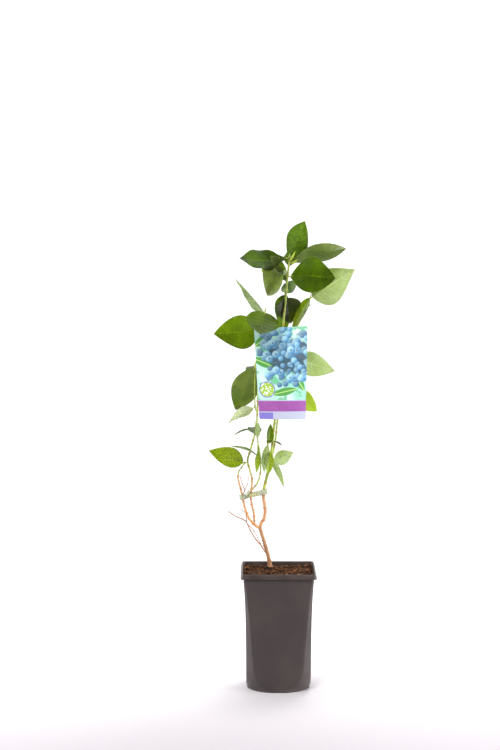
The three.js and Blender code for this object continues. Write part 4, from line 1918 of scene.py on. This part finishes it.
MASSES = (
    Mass(
        "foliage_top",
        ((11.4, 0, 697), (13.1, 0, 718), (16.6, -1, 754), (19.7, -2, 779), (20.4, -2.2, 783)),
        (2.5, 1.3),
        (
            Leaf(767, 58, 54, 95, 50, roll=68, arch=-12, twist=-8, fold=6, peak=0.49, fullness=0.94),
            Leaf(770, 16, 13, 110, 38, roll=62, arch=25, twist=13, fold=20, peak=0.5, upper=Coat.PAINTED_SHEEN),
            Leaf(746, -24, -1, 92, 66, roll=73, arch=60, twist=20, fold=15, peak=0.54),
            Leaf(
                779, -167, 0, 92, 59, roll=-38, arch=-27, twist=20, fold=4, peak=0.55, fullness=0.95,
                wave=5,
            ),
            Leaf(
                753, -138, 33, 53, 30, roll=-66, arch=-21, twist=9, fold=8, peak=0.47, fullness=0.78,
                upper=Coat.FRESH,
            ),
            Leaf(
                751, -137, -37, 63, 60, roll=-21, arch=118, twist=-50, fold=44, peak=0.58, fullness=0.5,
                upper=Coat.PAINTED_SHEEN,
            ),
            Leaf(752, 176, 6, 48, 38, roll=82, arch=20, peak=0.5, upper=Coat.PAINTED_SHEEN),
            Leaf(738, 78, -27, 52, 33, roll=148, fold=-12, peak=0.52, fullness=0.6, under=Coat.PAINTED_SHEEN),
            Leaf(
                718, 124, -77, 78, 31, roll=-147, arch=-63, twist=63, fold=-20, fullness=0.62,
                under=Coat.PAINTED_SHADED_SHEEN,
            ),
            Leaf(712, 54, -73, 54, 50, roll=128, arch=-9, fold=12, peak=0.34, upper=Coat.SHADED),
            Leaf(762, 70, 28, 70, 34, arch=20),
            Leaf(736, 128, 22, 60, 34, arch=20),
            Leaf(769, -25, 61, 25, 4.5, roll=110, arch=10, fold=25, upper=Coat.YOUNG),
            Leaf(766, -15, 31, 20, 4, roll=75, arch=18, fold=30, upper=Coat.YOUNG),
            Leaf(773, -70, 76, 14, 5, roll=60, arch=12, fold=34, upper=Coat.YOUNG),
        ),
    ),
    Mass(
        "foliage_shoulder",
        ((3.3, 0, 600), (10, 3, 612), (24, 7, 638), (40, 9, 668), (55, 9, 702), (58, 9, 712)),
        (1.6, 1.0),
        (
            Leaf(
                706, 16, 31, 99, 69, roll=-100, arch=27, twist=22, fold=20, peak=0.38, fullness=1,
                upper=Coat.FRESH, under=Coat.SOFT,
            ),
            Leaf(711, -150, -58, 76, 19, roll=100, arch=26, fold=18, peak=0.34, under=Coat.LUSH),
            Leaf(690, 104, -6, 66, 40, arch=20),
        ),
    ),
    Mass(
        "foliage_upper_left",
        ((-32, 4, 628), (-30, 4, 645), (-26, 4, 672), (-23.2, 3.4, 690)),
        (1.5, 0.9),
        (
            Leaf(648, -170, -3, 88, 63, roll=-83, arch=20, twist=25, upper=Coat.FRESH),
            Leaf(
                683, -97, -24, 85, 62, roll=-16, arch=-8, twist=8, fold=12, peak=0.5, fullness=0.62,
                upper=Coat.FRESH,
            ),
            Leaf(
                680, -154, 47, 87, 38, roll=-31, arch=10, twist=42, fold=-28, peak=0.39, fullness=1,
                upper=Coat.PAINTED_HIGHLIGHT,
            ),
            Leaf(670, 100, -18, 72, 42, arch=24),
            Leaf(638, 62, 0, 72, 40, arch=30),
        ),
    ),
    Mass(
        "foliage_middle_left",
        ((-38.2, 5, 500), (-42, 10, 510), (-43, 14, 540), (-42, 15, 575), (-41, 15, 592)),
        (1.3, 0.8),
        (
            Leaf(510, -157, -29, 61, 28, roll=51, arch=26, twist=-50, under=Coat.WHITISH),
            Leaf(586, 168, -66, 91, 50, roll=-101, arch=4, twist=-6, fold=10, peak=0.48, upper=Coat.PAINTED_SHEEN),
            Leaf(560, 84, 14, 76, 42, arch=20),
        ),
    ),
    Mass(
        "foliage_middle_right",
        ((4, 8, 530), (14, 9, 557), (28, 9, 592), (32, 9, 604)),
        (1.5, 0.9),
        (
            Leaf(600, 18, -20, 80, 46, roll=-99, arch=34, upper=Coat.FRESH),
            Leaf(557, 8, -45, 79, 36, roll=58, arch=-18, twist=20, fold=6, peak=0.58, upper=Coat.BRIGHT),
            Leaf(575, 80, 6, 78, 42, arch=30),
            Leaf(590, 140, 12, 62, 36, arch=30),
        ),
    ),
    Mass(
        "foliage_low_left",
        ((-67, -5, 401), (-63, -4.6, 407), (-57, -4, 412)),
        (1.2, 0.8),
        (
            Leaf(410, -163, 20, 73, 38, roll=-83, arch=28, fold=20, upper=Coat.LUSH),
            Leaf(408, 150, 8, 50, 28, arch=30),
        ),
    ),
    Mass(
        "foliage_low_centre",
        ((-32, -8, 410), (-33.5, -8, 428), (-37.5, -6, 450), (-41.5, -3, 474), (-42.5, -2, 486)),
        (1.3, 0.8),
        (
            Leaf(421, -173, 21, 57, 14, roll=-14, arch=34, twist=-20, upper=Coat.PAINTED_HIGHLIGHT),
            Leaf(448, -102, -77, 55, 20, roll=-73, arch=2, twist=45, fold=10, upper=Coat.BRIGHT),
            Leaf(452, -66, 82, 32, 12, arch=10, upper=Coat.FRESH),
            Leaf(472, -170, -16, 42, 10, roll=-6, arch=37),
            Leaf(460, 100, 10, 50, 26, arch=20),
        ),
    ),
    Mass(
        "foliage_low_right",
        ((-16.7, 0, 404), (-12, -4, 411), (-14, -8, 425), (-19, -9, 440), (-21, -8, 452)),
        (1.3, 0.8),
        (
            Leaf(410, 13, 24, 44, 27, roll=-99, arch=14, twist=24, upper=Coat.FRESH),
            Leaf(423, -18, -67, 61, 12, roll=-91, arch=29, twist=33, fold=22, upper=Coat.BRIGHT),
            Leaf(448, -108, -72, 56, 14, roll=150, arch=27, twist=-34),
            Leaf(440, 36, 81, 42, 14, roll=65, arch=40, twist=-40, fold=20, upper=Coat.FRESH),
            Leaf(436, -95, -82, 46, 19, roll=-17, arch=24, upper=Coat.BRIGHT),
            Leaf(450, 4, -17, 29, 8, roll=11, arch=60, twist=60, fold=6),
        ),
    ),
)


# ---- tie band and card


@dataclass(frozen=True)
class TieBand:
    """Soft strip looped round the boughs, closed on itself by a knotted tail."""

    left: float = 347.0  # height of its left end
    rise: float = 9.0
    tip: float = 9.0  # degrees that it leans over
    width: float = 8.5
    inner: Pair = (4.3, 5.2)
    thickness: float = 1.3
    hairs: int = 1300
    hair: float = 1.5
    knot: Point = (3.2, 2.2, 4.2)
    knot_hairs: int = 200
    tail_steps: int = 20
    tail_line: tuple[Point, ...] = ((0, 0, 0), (3, -2.2, 4), (7, -1.5, 8), (9, 0.5, 11))
    cells: tuple[int, int] = (110, 8)
    pinch: float = 0.35  # how much narrower its front is between the boughs
    pinch_reach: float = 9.0
    ragged: float = 0.09
    bulge: float = 0.35

    def build(self) -> None:
        """Makes the band with its tail and its fluff."""
        dice = random.Random(SEED)
        start, end = LEFT.route.at_height(self.left), LEADER.route.at_height(self.left + self.rise)
        reach = (end - start).length
        slope = -math.atan2(end.z - start.z, end.x - start.x)
        lean = Matrix.Rotation(-math.radians(self.tip), 4, "X")
        place = Matrix.Translation(start) @ Matrix.Rotation(slope, 4, "Y") @ lean

        def loop(along: float, out: float) -> tuple[Vector, Vector]:
            """A point of the loop at a share of its length, and the way out from it.

            Args:
                along: the share.
                out: how far out it is from the inner side.

            Returns:
                The point and the unit vector.
            """
            small, large = self.inner[0] + out, self.inner[1] + out
            left, right = math.pi * small, math.pi * large
            walked = along * (left + reach + right + reach)
            if walked < left:
                away = around(math.pi / 2 + walked / small)
                return away * small, away
            walked -= left
            if walked < reach:
                return Vector((walked, -between(small, large, walked / reach), 0)), Vector((0, -1, 0))
            walked -= reach
            if walked < right:
                away = around(walked / large - math.pi / 2)
                return Vector((reach, 0, 0)) + away * large, away
            share = (walked - right) / reach
            return Vector((reach * (1 - share), between(large, small, share), 0)), Vector((0, 1, 0))

        def band(along: float, across: float, down: float) -> Vector:
            """A point of the strip, with an uneven edge and a little sag.

            Args:
                along: share along it.
                across: -1 to 1 across it.
                down: 0 to 1 down through it.

            Returns:
                The place.
            """
            spot, away = loop(along, self.thickness * (1 - down))
            edge = 1 + self.ragged * noise.noise(Vector((along * 23, across * 1.5, 4.0)))
            pull = self.pinch if spot.y < 0 else self.pinch * 0.2
            narrow = 1 - pull * bell((spot.x - reach * 0.45) / self.pinch_reach)
            spot.z = across * self.width / 2 * edge * narrow
            return place @ (spot + away * self.bulge * noise.noise(Vector((along * 17, across * 2, 8.0))))

        def faded(spot: Vector) -> float:
            """1 in the middle of the band, towards its left, and 0 at its ends."""
            return bell(((spot.x - start.x) / reach - 0.42) * math.sqrt(12))

        piece = Piece("tie_strip")
        shape = bent_slab(*self.cells, band)
        bmesh.ops.remove_doubles(shape, verts=shape.verts, dist=0.02)
        paint(shape, Layer.TONE, lambda vert: 0.5 + 0.5 * noise.noise(vert.co * 0.8))
        paint(shape, Layer.AGE, lambda vert: faded(vert.co))
        piece.add(shape, FELT)
        for number in range(self.hairs):
            on_edge = number % 2
            along = dice.random()
            across = dice.choice((-1, 1)) if on_edge else dice.uniform(-1, 1)
            root = band(along, across, 0.0)
            away = place.to_3x3() @ loop(along, 0.0)[1]
            stray = Vector((dice.gauss(0, 0.7), dice.gauss(0, 0.7), across * (1.0 if on_edge else 0.3)))
            hair = self.fluff(root, away + stray, dice)
            paint(hair, Layer.AGE, faded(root))
            piece.add(hair, FELT)
        for part in self.tail(start, dice):
            piece.add(part, FELT)
        piece.finish("tie_band")

    def fluff(self, root: Vector, ahead: Vector, dice: random.Random) -> BMesh:
        """One short hair of fluff.

        Args:
            root: where it stands.
            ahead: the way that it points.
            dice: source of chance.

        Returns:
            The shape.
        """
        hair = new_shape()
        length = self.hair * dice.uniform(0.4, 1.0)
        turn = ahead.normalized().to_track_quat("Z", "Y").to_matrix().to_4x4()
        bmesh.ops.create_cone(
            hair, cap_ends=True, cap_tris=True, segments=3, radius1=0.14, radius2=0.05, depth=length,
            matrix=Matrix.Translation(root + ahead.normalized() * (length / 2 - 0.1)) @ turn,
        )
        paint(hair, Layer.TONE, dice.uniform(0.5, 1.0))
        return hair

    def tail(self, start: Vector, dice: random.Random) -> list[BMesh]:
        """The knot at the left end, with the strip's tail that stands up from it.

        Args:
            start: middle of the band's left end.
            dice: source of chance.

        Returns:
            The shapes.
        """
        front = start + Vector((3.5, -self.inner[0] - self.thickness, 1.5))
        frames = Route([front + Vector(step) for step in self.tail_line]).frames(self.tail_steps)

        def strip(along: float, across: float, down: float) -> Vector:
            """A point of the tail, which narrows towards its end.

            Args:
                along: share along it.
                across: -1 to 1 across it.
                down: 0 to 1 down through it.

            Returns:
                The place.
            """
            half = self.width / 2 * (0.9 - 0.35 * along)
            here = frames[round(along * self.tail_steps)]
            return here @ Vector((self.thickness * (0.5 - down), across * half * 0.8, 0))

        shape = bent_slab(self.tail_steps, 6, strip)
        paint(shape, Layer.TONE, 0.6)
        knot = bead(front + Vector((0, 0.2, 0)), Vector((0.6, 0, 1)), self.knot, 3, 0.35)
        paint(knot, Layer.TONE, 0.4)
        parts = [shape, knot]
        for _ in range(self.knot_hairs):
            away = Vector((dice.gauss(0, 1), -abs(dice.gauss(0, 1)), dice.gauss(0, 1))).normalized()
            root = front + Vector((away.x * 2.8, 0.2 + away.y * 2, away.z * 3.6))
            parts.append(self.fluff(root, away, dice))
        return parts


@dataclass(frozen=True)
class PictureCard:
    """Printed card, wider at its top and bowed, hung on the leader by two straps behind it."""

    heights: Pair = (490.5, 656.0)  # of its lower and upper edge
    widths: Pair = (83.0, 96.0)
    middles: Pair = (7.0, 3.6)
    depth: float = -17.0
    bow: float = 5.0
    slant: float = 1.6
    thickness: float = 0.9
    corner: float = 3.0
    cells: tuple[int, int] = (64, 28)
    straps: Pair = (512.0, 628.0)
    strap_height: float = 8.0
    strap_wall: float = 0.9
    strap_radius: float = 2.7
    strap_slack: float = 0.02
    strap_cells: tuple[int, int] = (48, 4)
    shade_from: float = 40.0  # degrees at which its shading breaks

    @staticmethod
    def share_up(along: float) -> float:
        """Share of the card's height for a share of its rows, which are closer near its ends."""
        return 0.5 - 0.5 * math.cos(math.pi * along)

    def sheet(self, along: float, across: float, down: float) -> Vector:
        """A point of the card.

        Args:
            along: share of its rows.
            across: -1 at its left edge to 1 at its right.
            down: 0 on its printed side to 1 on its back.

        Returns:
            The place.
        """
        up = self.share_up(along)
        half = between(*self.widths, up) / 2
        from_end = (self.heights[1] - self.heights[0]) * min(up, 1 - up)
        if from_end < self.corner:
            half -= self.corner - math.sqrt(self.corner**2 - (self.corner - from_end) ** 2)
        back = self.bow * across * across + (down - 0.5) * self.thickness
        height = between(*self.heights, up) + across * up * self.slant
        return Vector((between(*self.middles, up) + across * half, self.depth + back, height))

    def strap(self, height: float) -> BMesh:
        """One strap, from the card's back round the leader and back.

        Args:
            height: height of its middle.

        Returns:
            The shape.
        """
        stem = LEADER.route.at_height(height)
        up = (height - self.heights[0]) / (self.heights[1] - self.heights[0])
        aside = (stem.x - between(*self.middles, up)) / (between(*self.widths, up) / 2)
        legs = stem.y - self.depth
        fit = 1 - self.bow * aside**2 / legs - self.strap_slack
        radius = self.strap_radius
        total = 2 * legs + math.pi * radius

        def place(along: float, across: float, down: float) -> Vector:
            """A point of the strap.

            Args:
                along: share along it.
                across: -1 to 1 across it.
                down: 0 to 1 down through it.

            Returns:
                The place.
            """
            reach = radius + self.strap_wall * (1 - down)
            walked = along * total
            if walked < legs:
                spot = Vector((reach, (walked - legs) * fit, 0))
            elif walked > total - legs:
                spot = Vector((-reach, (total - legs - walked) * fit, 0))
            else:
                spot = around((walked - legs) / radius, reach)
            return Vector((stem.x, stem.y, height + across * self.strap_height / 2)) + spot

        shape = bent_slab(*self.strap_cells, place)
        bmesh.ops.recalc_face_normals(shape, faces=shape.faces)
        return shape

    def build(self) -> None:
        """Makes the card and its straps."""
        piece = Piece("picture_card")
        shape = bent_slab(*self.cells, self.sheet)
        flat = shape.loops.layers.uv[UV_NAME]
        for face in shape.faces:
            for loop in face.loops:
                along, beside = loop[flat].uv
                loop[flat].uv = (self.share_up(along), beside)
        bmesh.ops.recalc_face_normals(shape, faces=shape.faces)
        piece.add(shape, CARD, CARD_BACK)
        for height in self.straps:
            piece.add(self.strap(height), CARD_BACK)
        piece.finish("label_card").data.set_sharp_from_angle(angle=math.radians(self.shade_from))


# ---- studio


@dataclass(frozen=True)
class Softbox:
    """One square area light."""

    name: str
    place: Point
    aim: Point
    size: float
    power: float
    mirrored: bool = True  # whether it shows in glossy surfaces

    def build(self) -> None:
        """Hangs the light."""
        data = bpy.data.lights.new(self.name, "AREA")
        data.shape, data.size, data.energy = "SQUARE", self.size, self.power
        light = placed(self.name, data)
        light.location = self.place
        light.visible_glossy = self.mirrored
        light.rotation_euler = (Vector(self.aim) - Vector(self.place)).to_track_quat("-Z", "Y").to_euler()


@dataclass(frozen=True)
class Studio:
    """White studio with soft lights, and the camera. Its sizes are in metres."""

    eye: Point = (-0.0514, -3.5, 0.9014)
    tilt_down: float = 5.43
    lens: float = 93.86
    film: float = 36.0
    floor: float = 1.6
    sky_front: float = 0.2
    sky_back: float = 1.2
    dusk: Pair = (-0.4, 0.55)  # from dim to white, along Y
    softboxes: tuple[Softbox, ...] = (
        Softbox("overhead", (0.3, 1.2, 2.3), (0, 0.3, 0.3), 1.2, 42.0, mirrored=False),
        Softbox("left", (-1.9, -0.2, 0.5), (0, 0, 0.4), 1.0, 17.0),
        Softbox("right", (1.8, -1.0, 0.5), (0, 0, 0.4), 1.0, 34.0),
        Softbox("high_front", (-0.6, -1.8, 2.4), (0, 0, 0.5), 0.8, 56.0, mirrored=False),
        Softbox("low_left", (-1.1, 0.0, 0.2), (0, 0, 0.1), 0.35, 3.2),
        Softbox("low_right", (1.1, -0.2, 0.2), (0, 0, 0.1), 0.35, 4.2),
    )

    def build(self) -> None:
        """Makes floor, sky, lights and camera."""
        self.add_floor()
        self.add_sky()
        for softbox in self.softboxes:
            softbox.build()
        self.add_camera()

    def add_floor(self) -> None:
        """Adds the plain pale floor."""
        shape = bmesh.new()
        bmesh.ops.create_grid(shape, x_segments=1, y_segments=1, size=self.floor)
        floor = placed("studio_floor", baked(shape, "studio_floor"))
        floor.data.materials.append(FLOOR.material)

    def add_sky(self) -> None:
        """Adds the surround: white behind the plant and dim before it."""
        world = bpy.data.worlds.new("studio_surround")
        world.use_nodes = True
        shade = world.node_tree.nodes["Background"]
        wires = Wiring(world.node_tree)
        _, away, _ = wires.split(wires.read(wires.add("TexCoord"), "Generated"))
        wires.plug(shade.inputs["Color"], WHITE)
        wires.plug(shade.inputs["Strength"], away.rise(*self.dusk, self.sky_front, self.sky_back))
        bpy.context.scene.world = world
        bpy.context.scene.view_settings.view_transform = "Standard"

    def add_camera(self) -> None:
        """Adds the camera, level from side to side."""
        data = bpy.data.cameras.new("camera")
        data.sensor_fit, data.sensor_width, data.lens = "AUTO", self.film, self.lens
        camera = placed("camera", data)
        camera.location = self.eye
        camera.rotation_euler = (math.radians(90 - self.tilt_down), 0, 0)
        bpy.context.scene.camera = camera


def main() -> None:
    """Builds the studio and every piece of the object, in order."""
    logging.basicConfig(level=logging.INFO, format="%(message)s")
    for effect in (Mottle(), Streaks(), Veins()):
        effect.build()
    Studio().build()
    pot = SquaredPot()
    limbs = (TRUNK, LEADER, LEFT, MIDDLE, RIGHT, CENTRE)
    for part in (pot, PeatBed(pot), *limbs, LOW_TWIGS, HIGH_TWIGS, *MASSES, TieBand(), PictureCard()):
        part.build()


if __name__ == "__main__":
    main()
